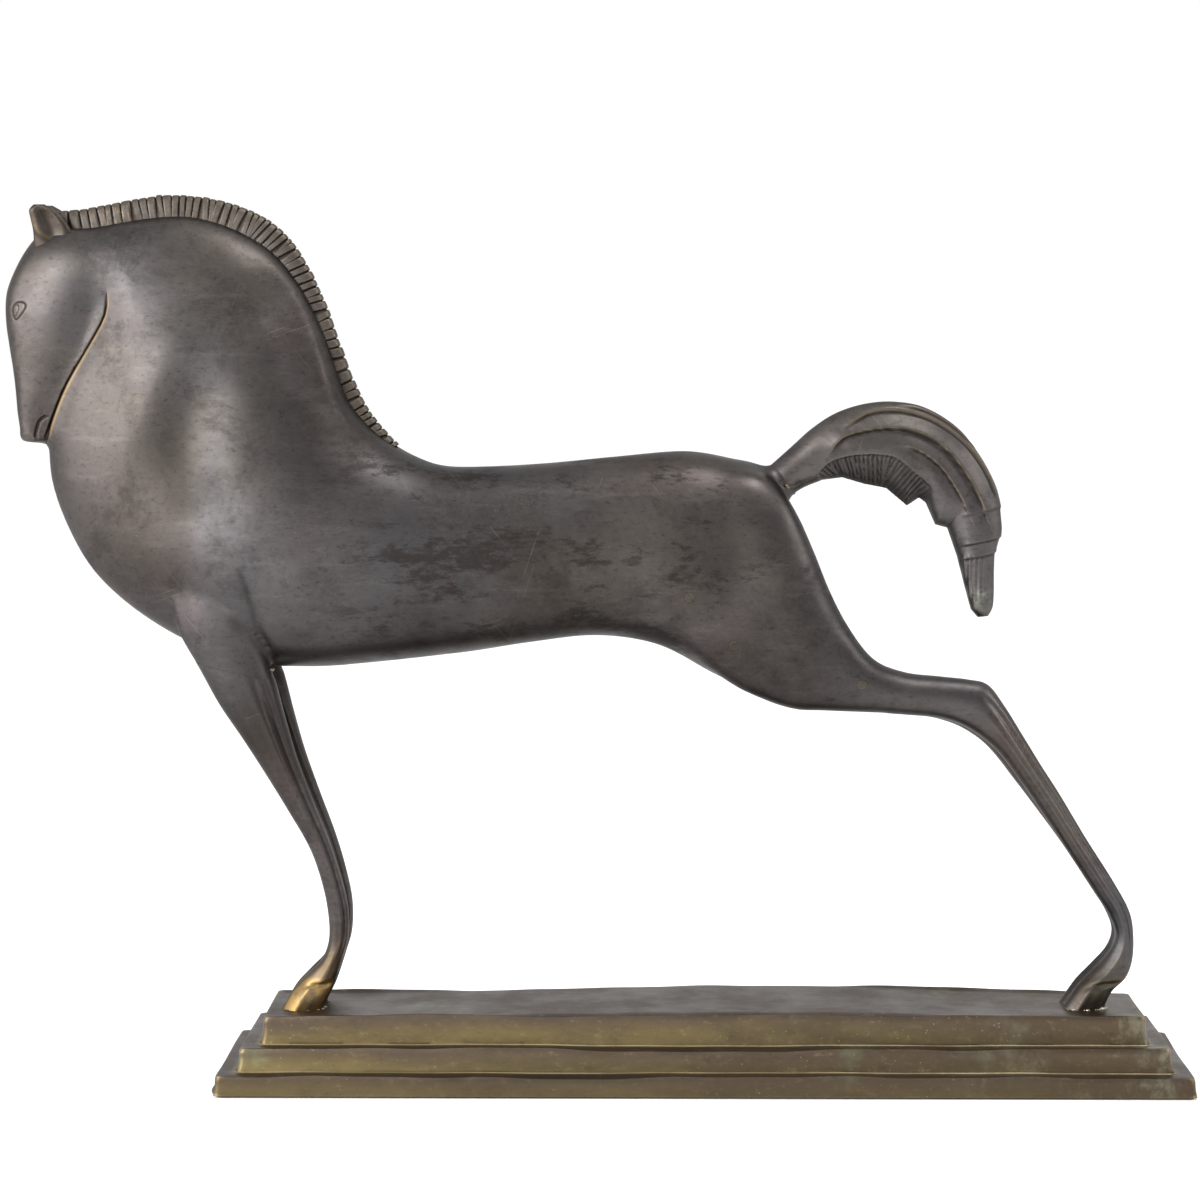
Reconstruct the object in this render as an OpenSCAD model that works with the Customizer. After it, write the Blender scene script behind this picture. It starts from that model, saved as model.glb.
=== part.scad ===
// Standing horse figure: hollow brazed castings on a three-step plinth.
// Frame: origin at the centre of the underside, +Z up, the horse faces -X, its left side is -Y.
// Sections of the figure are rows [xa, za, xb, zb, yc, t]: the two ends of a chord that lies in a
// plane parallel to XZ, the side offset of its centre, and the half thickness across it.

/* [Plinth] */
// Length of the bottom step
plinth_l = 442; // [436:1:450]
// Depth of the bottom step
plinth_w = 100; // [96:1:110]
// How far each step stands back from the one below
step_inset = 10; // [8:0.5:11]
// Height of the bottom step, felt included
step1_h = 10; // [9:0.5:11]
// Height of the middle step
step2_h = 10.5; // [10:0.5:11]
// Height of the top step
step3_h = 12.5; // [12:0.5:13]
// How far the face of each upper step leans out towards its foot
step_draft = 2; // [0.5:0.5:3]
// Wall of the plinth casting
plinth_wall = 4; // [3:0.5:5]
// Thickness of the felt under the plinth
felt_t = 1; // [0.8:0.1:1.5]

/* [Body] */
// Wall of the hollow body castings
body_wall = 3; // [2.5:0.25:3.5]
// Radius of the dowels that locate the legs on the body
dowel_r = 3; // [2.5:0.25:3.5]
// Length of the dowels inside the body
dowel_l = 9; // [6:0.5:10]
// Radius of the tenons under the hooves
tenon_r = 2.5; // [2:0.25:2.75]
// Radius of the plugs that close the core-pin holes
plug_r = 2.2; // [1.8:0.1:2.5]
// Gap round every dowel, tenon and plug
fit_gap = 0.2; // [0.15:0.05:0.3]

/* [Mane] */
// Number of ribs on the mane
rib_n = 58; // [50:1:64]
// Half thickness of the mane
mane_t = 5; // [4:0.25:6]
// Depth of the notch between two ribs
rib_cut = 1.2; // [0.8:0.1:1.6]

/* [Hidden] */

LEFT = -1;
RIGHT = 1;
top_z = step1_h + step2_h + step3_h;
ring_n = 24;
limb_n = 16;
far = 400;
notch_share = 0.2;

// Trunk, chest and neck, from the croup forward and up to the poll
trunk_rows = [
    [50, 226, 46, 186, 0, 8],    [42, 255, 38, 180, 0, 19],   [30, 280.5, 24, 179.5, 0, 27],
    [14, 286, 4, 188, 0, 31],    [-7, 289.5, -20, 201, 0, 32], [-39, 287.5, -48, 205.5, 0, 32],
    [-71, 284.5, -78, 202, 0, 33], [-100, 283, -104, 198, 0, 34], [-119, 283.5, -128, 195, 0, 35],
    [-132, 288, -152, 192, 0, 36], [-143, 294.5, -178, 190, 0, 37], [-152, 302, -205, 191.5, 0, 37.5],
    [-161, 313, -230, 199, 0, 37.5], [-166, 326, -251.5, 209.5, 0, 36.5], [-171, 341, -270, 223, 0, 35],
    [-177, 355, -283, 238, 0, 33], [-185, 369, -293, 256.5, 0, 30.5], [-194, 380.5, -299, 276, 0, 28],
    [-206, 389, -300, 295, 0, 26], [-220, 395, -295, 310, 0, 24], [-234, 398, -287, 326, 0, 22.5],
    [-249, 397.5, -280, 340, 0, 21], [-264, 395.5, -274, 354, 0, 19], [-277, 393.5, -272.5, 366, 0, 16]];

// Head, from the poll down the jaw to the muzzle
head_rows = [
    [-272, 392, -300.5, 392.5, 0, 9], [-267, 384, -307.5, 384.5, 0, 14.5], [-268, 374, -313, 374.5, 0, 16.5],
    [-271, 364, -317.5, 363, 0, 17.5], [-274, 352, -318, 351, 0, 17], [-279, 341, -316.5, 338, 0, 15.5],
    [-285, 330, -315, 327, 0, 13.5], [-290.5, 320, -314.5, 316, 0, 12], [-295, 310, -313.5, 307, 0, 10.5],
    [-298.5, 301, -313, 300, 0, 9.5], [-300, 296, -312, 296.5, 0, 8], [-302.5, 293, -310, 294, 0, 4.5]];

// Foreleg, from inside the shoulder to the sole of the hoof: front end, rear end
fore_rows = [
    [-244, 232, -204, 236, 18, 9],  [-239, 211, -200, 215, 19.5, 10.5], [-229, 192, -199, 198, 18, 11],
    [-220, 175, -194.5, 184, 17, 10.5], [-210.5, 159, -191, 168, 16.5, 9.8], [-200.5, 143, -185.5, 150, 16, 8.8],
    [-190.5, 126, -178.5, 131.5, 15, 7.6], [-181.5, 109.5, -172, 113, 13.5, 6.6], [-176, 95, -167, 97, 11.8, 6],
    [-173, 80, -163.5, 81, 10.3, 5.6],  [-172.5, 66, -163.5, 67, 9.5, 5.6], [-176, 56, -166.5, 56, 9.2, 5.9],
    [-182.5, 49, -170.5, 44, 9, 6.2], [-189.5, 41.5, -173.5, 37.5, 9, 6.8], [-194.5, top_z, -176, top_z, 9, 6.8]];

// Hind leg, from inside the haunch to the sole of the hoof: rear end, front end.
// The last two values say how far the right leg lies from the mirrored left one.
hind_rows = [
    [4, 280, -8, 201, 16, 13, 0, 0],   [24, 281.5, 12, 184.5, 15, 15.5, 0, 0],
    [39, 270, 28, 177, 15, 15.5, 0, 0], [49, 248.5, 42, 173, 15, 14.5, 0, -0.5],
    [57.5, 227, 54, 172, 15, 12.8, 0, -1], [66.5, 209.5, 66, 171.5, 14.8, 11.4, 0, -2],
    [78, 195.5, 80, 170.5, 14.5, 10.5, 0, -3], [92, 189.5, 93, 169.5, 14, 9.6, 0, -3],
    [108, 187.5, 104, 168.5, 13.3, 9, 0, -3], [121, 186, 113, 167, 12.8, 8.6, -0.5, -3],
    [130, 183.5, 121, 163.5, 12.4, 8.4, -1, -2.5], [138, 174, 129.5, 157.5, 12, 8, -1, -2],
    [147, 159.5, 136.5, 151, 11.4, 7.4, -1, -2], [155, 146.5, 145, 139, 10.8, 6.9, -1, -1.5],
    [164, 132.5, 154.5, 126, 10.2, 6.3, -0.5, -1], [176, 112.5, 167, 106.5, 9.2, 5.7, 0, 0],
    [189, 92, 180.5, 86, 8, 5.3, 0, 0], [196.5, 78, 187, 76.5, 7.2, 5.2, 0, 0],
    [198.5, 66, 189.5, 67.5, 6.6, 5.2, 0, 0], [197.5, 55, 187.5, 59.5, 6.2, 5.4, 0, 0],
    [194.5, 46, 180.5, 51.5, 6, 5.6, 0, 0], [192, 40, 173.5, 43.5, 6, 5.8, 0, 0],
    [188.5, top_z, 166, top_z, 6, 5.8, 0, 0]];

// Tail plume, from inside the rump to the collar: outer end, inner end
tail_rows = [
    [24, 278.5, 36, 264.5, 0, 6],    [32, 285, 44, 271.5, 0, 6.4], [41, 292.5, 52, 275, 0, 7],
    [50, 300, 60, 277, 0, 7.5],    [61, 307, 69, 276, 0, 8],     [74, 311, 79, 272.5, 0, 8.5],
    [87, 312, 88, 269.5, 0, 9],    [100, 309.5, 96, 266, 0, 9],  [112, 303, 103, 262, 0, 9],
    [122, 294, 107, 257, 0, 8.6],  [130, 282, 111, 253, 0, 8.2], [135.5, 269, 114, 248, 0, 7.8],
    [136.5, 257, 115.5, 244, 0, 7.4]];
collar_rows = [[136, 252, 116.5, 242, 0, 8], [135.5, 248.5, 117, 239.5, 0, 7.5]];
tip_rows = [
    [134, 246, 117.5, 238.5, 0, 6.5], [133, 236, 119.5, 231, 0, 5.5], [133, 225, 122, 222, 0, 5],
    [132.5, 217.5, 124.5, 216, 0, 4], [130, 213.5, 126.5, 213, 0, 2]];

// Mane band, from the withers to the poll: outer edge and inner edge
mane_outer = [[-139, 293], [-149.5, 305], [-157.5, 318.5], [-165, 338.5], [-172, 358], [-180.5, 376],
              [-190, 389.5], [-202.5, 398.5], [-217, 404], [-232, 407], [-248, 407], [-264, 404.5],
              [-280, 401.5], [-295, 400]];
mane_inner = [[-140, 290], [-153, 298.5], [-164.5, 312], [-170, 327], [-177, 345], [-186.5, 362.5],
              [-198, 377], [-212, 387.5], [-226, 392.5], [-241, 394], [-256, 392.5], [-270, 390.5],
              [-284, 388.5], [-296, 388]];

// Seams, dowels and plugs
elbow_seam = [[-250, 199.5], [-180, 183.5]];
gaskin_x = 84;
elbow_dowel_at = [-213, 191];
gaskin_dowel_at = [84, 183];
tail_spigot_at = [37, 278.5];
tail_spigot_tilt = 42;
fore_tenon_x = -185;
hind_tenon_x = 177;
plug_at = [[14, 203], [-6, 225], [72, 185]];
elbow_bead_at = [[-198, 188.5], [-194.5, 178.5]];
elbow_y = 17;
gaskin_y = 14.5;
fore_foot_y = 9;
hind_foot_y = 6;
bead_r = 2.6;
ear_t = 4;
ear_at = [-299, 10.5, 383];
ear_splay = 6;
ear_outline = [[-6, 0], [-7, 7], [-7, 13], [-4.5, 20.5], [-2, 19], [3, 12], [7, 5], [8, 0]];
fore_fillet_at = -184.5;
fore_fillet = [12.5, 8.5, 2.2];
hind_fillet_at = 176;
hind_fillet = [14, 7.8, 2.4];
tail_fillet_at = [40, 0, 277];
tail_fillet = [9.5, 8.2, 2.2];

function spline(p, q, r, s, t) =
    0.5 * (2 * q + (r - p) * t + (2 * p - 5 * q + 4 * r - s) * t * t + (3 * q - p - 3 * r + s) * t * t * t);

// Rows refined by a smooth curve through every given row, k parts to a gap
function smooth(rows, k) = let (n = len(rows) - 1) [
    for (i = [0:n - 1], j = [0:k - 1])
        spline(rows[max(i - 1, 0)], rows[i], rows[i + 1], rows[min(i + 2, n)], j / k),
    rows[n]];

// Closed oval ring of one section, shrunk all round by cut
function ring(row, n, cut) =
    let (a = [row[0], row[4], row[1]], b = [row[2], row[4], row[3]],
         half = (a - b) / 2, size = norm(half), u = half * max(1 - cut / size, 0.05),
         t = max(row[5] - cut, 0.5))
    [for (k = [0:n - 1]) (a + b) / 2 + u * cos(360 * k / n) + [0, t * sin(360 * k / n), 0]];

// Solid skinned over a chain of sections
module skin(rows, n, cut = 0) {
    for (i = [0:len(rows) - 2])
        hull() polyhedron(points = concat(ring(rows[i], n, cut), ring(rows[i + 1], n, cut)),
                          faces = [[for (k = [0:2 * n - 1]) k]]);
}

// Rows of a limb on one side of the figure
function on_side(rows, side) = [for (r = rows)
    let (dx = side > 0 && len(r) > 6 ? r[6] : 0, dz = side > 0 && len(r) > 6 ? r[7] : 0)
    [r[0] + dx, r[1] + dz, r[2] + dx, r[3] + dz, side * r[4], r[5]]];

function from(rows, first, last) = [for (i = [first:last]) rows[i]];

// Prism across the whole depth over a polygon in XZ
module prism(points, half = 80) {
    rotate([90, 0, 0]) linear_extrude(height = 2 * half, center = true) polygon(points);
}

module side_half(side) {
    translate([-far, side < 0 ? -far : 0, -far]) cube([2 * far, far, 3 * far]);
}

module below_elbow() {
    prism([elbow_seam[0], elbow_seam[1], [-120, 0], [-300, 0]]);
}

module behind_gaskin() {
    prism([[gaskin_x, 0], [gaskin_x, 240], [300, 240], [300, 0]]);
}

module foreleg_skin(side) { skin(smooth(on_side(fore_rows, side), 2), limb_n); }

module hindleg_skin(side) { skin(smooth(on_side(hind_rows, side), 2), limb_n); }

module elbow_dowel(side, gap = 0) {
    translate([elbow_dowel_at[0], side * elbow_y, elbow_dowel_at[1] - 2])
        cylinder(r = dowel_r + gap, h = dowel_l + 2 + gap, $fn = 24);
}

module gaskin_dowel(side, gap = 0) {
    translate([gaskin_dowel_at[0] + 2, side * gaskin_y, gaskin_dowel_at[1]])
        rotate([0, -90, 0]) cylinder(r = dowel_r + gap, h = dowel_l + 2 + gap, $fn = 24);
}

module tail_spigot(gap = 0) {
    translate([tail_spigot_at[0], 0, tail_spigot_at[1]]) rotate([0, -180 + tail_spigot_tilt, 0])
        cylinder(r = dowel_r + gap, h = dowel_l + 6 + gap, $fn = 24);
}

// Outer form of the whole body on one side, legs cut off at their seams
module body_form(side) {
    skin(smooth(trunk_rows, 2), ring_n);
    skin(smooth(head_rows, 2), ring_n);
    difference() {
        skin(smooth(on_side(from(fore_rows, 0, 4), side), 2), limb_n);
        below_elbow();
    }
    difference() {
        skin(smooth(on_side(from(hind_rows, 0, 8), side), 2), limb_n);
        behind_gaskin();
    }
}

module cavity() { skin(from(trunk_rows, 3, 21), limb_n, body_wall); }

module mane_band(outer, inner) {
    prism(concat(outer, [for (i = [len(inner) - 1:-1:0]) inner[i]]), mane_t);
}

// Edge of the mane with one notch between every two ribs
function ribbed_edge() = let (fine = smooth(mane_outer, 12), m = len(fine) - 1) concat([fine[0]], [
    for (i = [1:rib_n - 1], s = [-1, 0, 1])
        let (at = (i + s * notch_share) / rib_n * m, k = min(floor(at), m - 1),
             d = fine[k + 1] - fine[k], outward = [d[1], -d[0]] / norm(d), depth = s == 0 ? rib_cut : 0)
        fine[k] + d * (at - k) - outward * depth], [fine[m]]);

module ear_leaf(side) {
    translate([ear_at[0], side * ear_at[1], ear_at[2]]) rotate([side * ear_splay, 0, 0]) rotate([90, 0, 0])
        linear_extrude(height = ear_t, center = true) polygon(ear_outline);
}

module body_shell(side) {
    difference() {
        intersection() {
            body_form(side);
            side_half(side);
        }
        cavity();
        mane_band(smooth(mane_outer, 3), smooth(mane_inner, 3));
        ear_leaf(side);
        elbow_dowel(side, fit_gap);
        gaskin_dowel(side, fit_gap);
        tail_spigot(fit_gap);
        core_pins(side, fit_gap);
    }
}

module core_pins(side, gap = 0) {
    for (p = plug_at)
        translate([p[0], side * 60, p[1]]) rotate([side * 90, 0, 0])
            cylinder(r = plug_r + gap, h = 60, $fn = 20);
}

module body_shell_left() { color("#4a4440") body_shell(LEFT); }

module body_shell_right() { color("#4a4440") body_shell(RIGHT); }

module mane_comb() { color("#5a5443") mane_band(ribbed_edge(), smooth(mane_inner, 3)); }

module ear_left() { color("#5f5643") ear_leaf(LEFT); }

module ear_right() { color("#5f5643") ear_leaf(RIGHT); }

module foreleg(side) {
    intersection() {
        foreleg_skin(side);
        below_elbow();
    }
    elbow_dowel(side);
    hoof_tenon(fore_tenon_x, side * fore_foot_y);
}

module hoof_tenon(x, y, gap = 0) {
    translate([x, y, top_z - plinth_wall - 1 - gap])
        cylinder(r = tenon_r + gap, h = plinth_wall + 3 + gap, $fn = 32);
}

module foreleg_left() { color("#4d4741") foreleg(LEFT); }

module foreleg_right() { color("#4d4741") foreleg(RIGHT); }

module hindleg(side) {
    intersection() {
        hindleg_skin(side);
        behind_gaskin();
    }
    gaskin_dowel(side);
    hoof_tenon(hind_tenon_x, side * hind_foot_y);
}

module hindleg_left() { color("#4b4641") hindleg(LEFT); }

module hindleg_right() { color("#4b4641") hindleg(RIGHT); }

module tail_form() {
    skin(smooth(tail_rows, 2), limb_n);
    skin(concat([tail_rows[12]], collar_rows), limb_n);
    skin(tip_rows, limb_n);
    skin([collar_rows[1], tip_rows[0]], limb_n);
}

module tail() {
    color("#545046") {
        difference() {
            tail_form();
            body_form(LEFT);
            body_form(RIGHT);
        }
        tail_spigot();
    }
}

// One step of the plinth: upright lower edge or drafted face up to a level top
module step_block(inset, z, h, shrink = 0, draft = 0) {
    l = plinth_l - 2 * inset - 2 * shrink;
    w = plinth_w - 2 * inset - 2 * shrink;
    if (draft == 0) translate([-l / 2, -w / 2, z]) cube([l, w, h]);
    else hull() {
        translate([-l / 2 - draft, -w / 2 - draft, z]) cube([l + 2 * draft, w + 2 * draft, h / 8]);
        translate([-l / 2, -w / 2, z]) cube([l, w, h]);
    }
}

module plinth() {
    color("#6b5f3c") difference() {
        union() {
            step_block(0, felt_t, step1_h - felt_t);
            step_block(step_inset, step1_h - 1, step2_h + 1, 0, step_draft);
            step_block(2 * step_inset, step1_h + step2_h - 1, step3_h + 1, 0, step_draft);
        }
        step_block(0, 0, step1_h - plinth_wall, plinth_wall);
        step_block(step_inset, 0, step1_h + step2_h - plinth_wall, plinth_wall);
        step_block(2 * step_inset, 0, top_z - plinth_wall, plinth_wall);
        for (side = [LEFT, RIGHT]) {
            hoof_tenon(fore_tenon_x, side * fore_foot_y, fit_gap);
            hoof_tenon(hind_tenon_x, side * hind_foot_y, fit_gap);
        }
    }
}

module base_felt() {
    color("#1d1c1b") translate([-plinth_l / 2 + 1, -plinth_w / 2 + 1, 0])
        cube([plinth_l - 2, plinth_w - 2, felt_t]);
}

// Low rounded fillet of braze round a hoof
module fillet_dome(x, y, size) {
    intersection() {
        translate([x, y, top_z]) scale(size) sphere(r = 1, $fn = 28);
        translate([-far, -far, top_z]) cube([2 * far, 2 * far, 2 * size[2]]);
    }
}

module fore_hoof_braze() {
    color("#c9b98a") difference() {
        for (side = [LEFT, RIGHT]) fillet_dome(fore_fillet_at, side * fore_foot_y, fore_fillet);
        foreleg_skin(LEFT);
        foreleg_skin(RIGHT);
    }
}

module hind_hoof_braze() {
    color("#cfc9b6") difference() {
        for (side = [LEFT, RIGHT]) fillet_dome(hind_fillet_at, side * hind_foot_y, hind_fillet);
        hindleg_skin(LEFT);
        hindleg_skin(RIGHT);
    }
}

module elbow_braze() {
    color("#c9b98a") difference() {
        for (side = [LEFT, RIGHT], p = elbow_bead_at)
            translate([p[0], side * elbow_y, p[1]]) sphere(r = bead_r, $fn = 16);
        body_form(LEFT);
        body_form(RIGHT);
        foreleg_skin(LEFT);
        foreleg_skin(RIGHT);
    }
}

module tail_braze() {
    color("#c9b98a") difference() {
        translate(tail_fillet_at) rotate([0, tail_spigot_tilt, 0]) scale(tail_fillet) sphere(r = 1, $fn = 24);
        body_form(LEFT);
        body_form(RIGHT);
        tail_form();
    }
}

module core_pin_plugs() {
    color("#6e675c") for (side = [LEFT, RIGHT]) difference() {
        intersection() {
            core_pins(side);
            body_form(side);
        }
        cavity();
        translate([-far, -20, 0]) cube([2 * far, 40, far]);
    }
}

body_shell_left();
body_shell_right();
mane_comb();
ear_left();
ear_right();
foreleg_left();
foreleg_right();
hindleg_left();
hindleg_right();
tail();
plinth();
base_felt();
elbow_braze();
tail_braze();
fore_hoof_braze();
hind_hoof_braze();
core_pin_plugs();
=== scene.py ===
import math

import bmesh
import bpy
import numpy as np
from mathutils import Matrix, Vector, kdtree


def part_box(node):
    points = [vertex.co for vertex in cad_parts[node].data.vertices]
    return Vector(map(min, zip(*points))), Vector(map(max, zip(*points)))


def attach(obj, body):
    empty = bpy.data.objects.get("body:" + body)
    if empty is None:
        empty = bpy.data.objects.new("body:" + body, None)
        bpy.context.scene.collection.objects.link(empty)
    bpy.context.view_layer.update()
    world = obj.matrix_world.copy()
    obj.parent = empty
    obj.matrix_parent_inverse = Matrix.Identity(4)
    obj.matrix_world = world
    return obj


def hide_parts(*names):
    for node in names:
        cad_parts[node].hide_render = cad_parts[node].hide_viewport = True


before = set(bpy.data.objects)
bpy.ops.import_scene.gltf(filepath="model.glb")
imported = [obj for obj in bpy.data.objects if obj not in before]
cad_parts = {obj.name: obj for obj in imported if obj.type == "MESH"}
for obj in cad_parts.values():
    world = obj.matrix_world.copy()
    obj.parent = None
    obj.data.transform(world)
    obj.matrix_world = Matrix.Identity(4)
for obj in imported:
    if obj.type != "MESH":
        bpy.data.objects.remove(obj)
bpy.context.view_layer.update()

plinth_low, plinth_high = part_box("plinth")
PLINTH_LENGTH = 442.0
MM = (plinth_high.x - plinth_low.x) / PLINTH_LENGTH
PLINTH_WIDTH = (plinth_high.y - plinth_low.y) / MM
TOP = plinth_high.z / MM
FELT = plinth_low.z / MM
LEFT, RIGHT = -1, 1
SEED = 7
BODY_GRID = 1.15  # size of the grid on which the parts of the body are made one skin

# ---------------------------------------------------------------- sections of the figure

# The tables down to the painted shade patches and COMB_EDGE go back to points that scripts had traced from
# the photograph, and some values are still the traced ones.
TRUNK = [
    [50, 226, 46, 186, 0, 8, 1, 1], [42, 256, 38, 179.5, 0, 19, .9, .9],
    [29.5, 281.5, 24, 179, 0, 26, .85, .9], [14, 286.5, 4, 188, 0, 31, .8, .85],
    [-7, 290, -20, 201, 0, 32, .8, .8], [-39, 287.5, -48, 205.5, 0, 32, .8, .8],
    [-71, 284.5, -78, 202.5, 0, 33, .8, .8],
    [-100, 283, -104, 198.5, 0, 34, .8, .8], [-119, 283.5, -128, 195.5, 0, 35, .8, .8],
    [-132, 288, -152, 193, 0, 36, .85, .8], [-143, 294.5, -178, 191, 0, 37, .9, .85],
    [-152, 302, -205, 192.5, 0, 37.5, .95, .9], [-161, 313, -229.5, 199.5, 0, 37.5, .95, 1.0],
    [-166, 326, -250.5, 210, 0, 36.5, .95, 1.15], [-171, 341, -269, 223.5, 0, 35, .95, 1.25],
    [-177, 355, -282.5, 238, 0, 33, .95, 1.3], [-185, 369, -292.5, 256.5, 0, 30.5, .95, 1.3],
    [-194, 380.5, -299, 276, 0, 28, .9, 1.3], [-206, 389, -300, 294, 0, 26, .9, 1.2],
    [-220, 395, -296.5, 308.5, 0, 24, .9, 1.1], [-234, 398, -288, 325, 0, 22.5, .9, 1.05],
    [-249, 397.5, -281, 339.5, 0, 21, .9, 1.0], [-264, 395.5, -275, 353.5, 0, 19, .9, 1.0],
    [-277, 393.5, -272.5, 366, 0, 16, .9, 1.0]]
HEAD = [
    [-262, 392, -300.5, 392.5, 0, 9.5, 1, 1], [-250, 384, -307.5, 384.5, 0, 15.5, .75, .75],
    [-246, 374, -313.5, 374.5, 0, 18, .65, .7], [-254, 363.5, -318, 363, 0, 18, .65, .7],
    [-266.5, 352, -318.5, 351, 0, 17.5, .6, .68], [-271.5, 341, -317, 338, 0, 16.5, .6, .68],
    [-278, 330, -315.5, 327, 0, 14.5, .6, .68], [-284, 320, -314.5, 316, 0, 13, .6, .68],
    [-290, 310, -314, 307, 0, 11, .6, .68], [-295.5, 301.5, -313, 300, 0, 10, .65, .7],
    [-299, 297.5, -313.5, 298.5, 0, 9, .75, .75], [-300.5, 294, -312.5, 295, 0, 7.5, 1, 1]]
FORELEG = [
    [-244, 232, -204, 236, 18, 9.5, .9, .9], [-239.5, 211, -199.5, 215, 19.5, 11, .9, .9],
    [-229.5, 192, -198.5, 198, 18, 11, .9, .9], [-220.5, 175, -194.5, 184, 17, 10.5, .9, .9],
    [-210, 159, -190.5, 168, 16.5, 10, .95, .9], [-200, 143, -185.5, 150, 16, 9, 1, .9],
    [-190, 126, -179, 131.5, 15, 7.5, 1, .9], [-181, 109.5, -172, 113, 13.5, 6.5, 1, .9],
    [-176, 95, -167, 97, 12, 6, 1, .9], [-173, 80, -163.5, 81, 10.5, 5.5, 1, .9],
    [-172.5, 66, -163.5, 67, 9.5, 5.5, 1, .9], [-176, 56, -166.5, 56, 9, 6, 1, .9],
    [-182.5, 49, -170.5, 44, 9, 6, 1, .9], [-189.5, 41.5, -173.5, 37.5, 9, 7, 1, .9],
    [-194.5, TOP, -176, TOP, 9, 7, .95, .85]]
# The last two values of a hind leg row say how far the right leg lies from the mirrored left one.
HINDLEG = [
    [4, 280, -8, 201, 16, 13, .9, .9, 0, 0], [24, 281.5, 12, 184, 15, 15.5, .9, .9, 0, 0],
    [39, 270, 28, 176.5, 15, 15.5, .9, .9, 0, 0], [49.5, 248.5, 42, 172.5, 15, 14.5, .9, .9, 0, -.5],
    [58, 227, 54, 172, 15, 13, .9, .9, 0, -1], [67, 209.5, 66, 171.5, 15, 11.5, .9, .9, 0, -2],
    [78, 195.5, 80, 171, 14.5, 10.5, .9, .9, 0, -3], [92, 189.5, 93, 170, 14, 9.5, .9, .9, 0, -3],
    [108, 187.5, 104, 169, 13.5, 9, .9, .9, 0, -3], [121, 186, 113, 167, 13, 8.5, .9, .9, -.5, -3],
    [130, 183.5, 121, 163.5, 12.5, 8.5, .9, .95, -1, -2.5], [137.5, 174, 129.5, 157.5, 12, 8, .9, 1, -1, -2],
    [146.5, 159.5, 136.5, 150.5, 11.5, 7.5, .9, 1, -1, -2], [154.5, 146.5, 145, 139, 11, 7, .9, 1, -1, -1.5],
    [163.5, 132.5, 154, 126, 10, 6.5, .9, 1, -.5, -1], [175.5, 112.5, 167, 106.5, 9, 5.5, .9, 1, 0, 0],
    [188.5, 92, 180.5, 86, 8, 5.5, .9, 1, 0, 0], [196, 78, 186.5, 76.5, 7, 5, .9, 1, 0, 0],
    [198, 66, 189.5, 67.5, 6.5, 5, .9, 1, 0, 0], [197.5, 55, 187, 59.5, 6, 5.5, .9, 1, 0, 0],
    [194.5, 47, 180, 51.5, 6, 6, .9, 1, 0, 0], [188.5, 41, 172.5, 43.5, 6, 6.5, .9, 1, 0, 0],
    [184.5, TOP, 165.5, TOP, 6, 6.5, .85, .9, 0, 0]]
TAIL = [
    [20, 273, 31, 259, 0, 6, 1, 1], [26, 279, 36.5, 264.5, 0, 6.5, 1, 1], [32, 284, 43, 270.5, 0, 7, 1, 1],
    [41, 292, 51, 274.5, 0, 7, 1, 1], [50, 300, 60, 277, 0, 7.5, 1, 1], [61, 307, 69, 276, 0, 8, 1, 1.1],
    [74, 311, 79, 272.5, 0, 8.5, .9, 1.2], [87, 312, 88, 269.5, 0, 9, .9, 1.2],
    [100, 309.5, 96, 266, 0, 9, .9, 1.2], [112, 303, 103, 262, 0, 9, .9, 1.2],
    [121.5, 294, 107, 257, 0, 8.5, .9, 1.2], [129.5, 282, 111, 253, 0, 8, .9, 1.2],
    [135, 269, 114, 248, 0, 8, .9, 1.1], [136.5, 257, 115.5, 244, 0, 7.5, .9, 1.1],
    [136, 251, 116.5, 241, 0, 7, .9, 1], [134, 244, 118, 236.5, 0, 6.5, .9, .9],
    [133.5, 235, 120, 229.5, 0, 5.5, .9, .9], [133.5, 225, 121.5, 221.5, 0, 5, .9, .9],
    [133, 218, 123.5, 216, 0, 4, .9, .9], [131, 214, 126, 213.5, 0, 2, .9, .9]]
EAR = [
    [-304, 378, -283, 380, 7, 4, .9, 1], [-304, 385, -285, 387.5, 8, 4, .8, 1],
    [-304, 391, -288, 394, 9, 3.5, .7, 1], [-305, 396.5, -291.5, 398.5, 9.5, 3, .7, 1],
    [-305.5, 400.5, -295, 401, 10, 2.5, .7, .8], [-303.5, 403, -298.5, 403, 10, 1.5, 1, 1]]

MANE_OUTER = [[-139, 293], [-149.5, 305], [-157.5, 318.5], [-165, 338.5], [-172, 358], [-180.5, 376],
              [-190, 389.5], [-202.5, 398.5], [-217, 404], [-232, 407], [-248, 407], [-264, 404.5],
              [-280, 401.5], [-296, 400]]
MANE_INNER = [[-140, 290], [-153, 298.5], [-164.5, 312], [-170, 327], [-177, 345], [-186.5, 362.5],
              [-198, 377], [-212, 387.5], [-226, 392.5], [-241, 394], [-256, 392.5], [-270, 390.5],
              [-284, 388.5], [-297, 388]]
MANE_HALF, MANE_RIBS = 5.0, 58

ELBOW_SEAM = [[-250, 199.5], [-180, 183.5]]
GASKIN_X = 84
PLUGS = [[14, 203], [-6, 225], [72, 185]]
PLUG_RADIUS, PLUG_GAP = 2.2, .12
# The hollow inside the trunk: its first and last rows, and its wall above, below and on the flanks
CAVITY_ROWS, CAVITY_WALL, CAVITY_FLANK = slice(3, 20), 3.2, 8
FORE_FOOT = [-184.5, 9]
HIND_FOOT = [175.5, 6]

# ---------------------------------------------------------------- lines worked into the surface, in XZ

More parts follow.
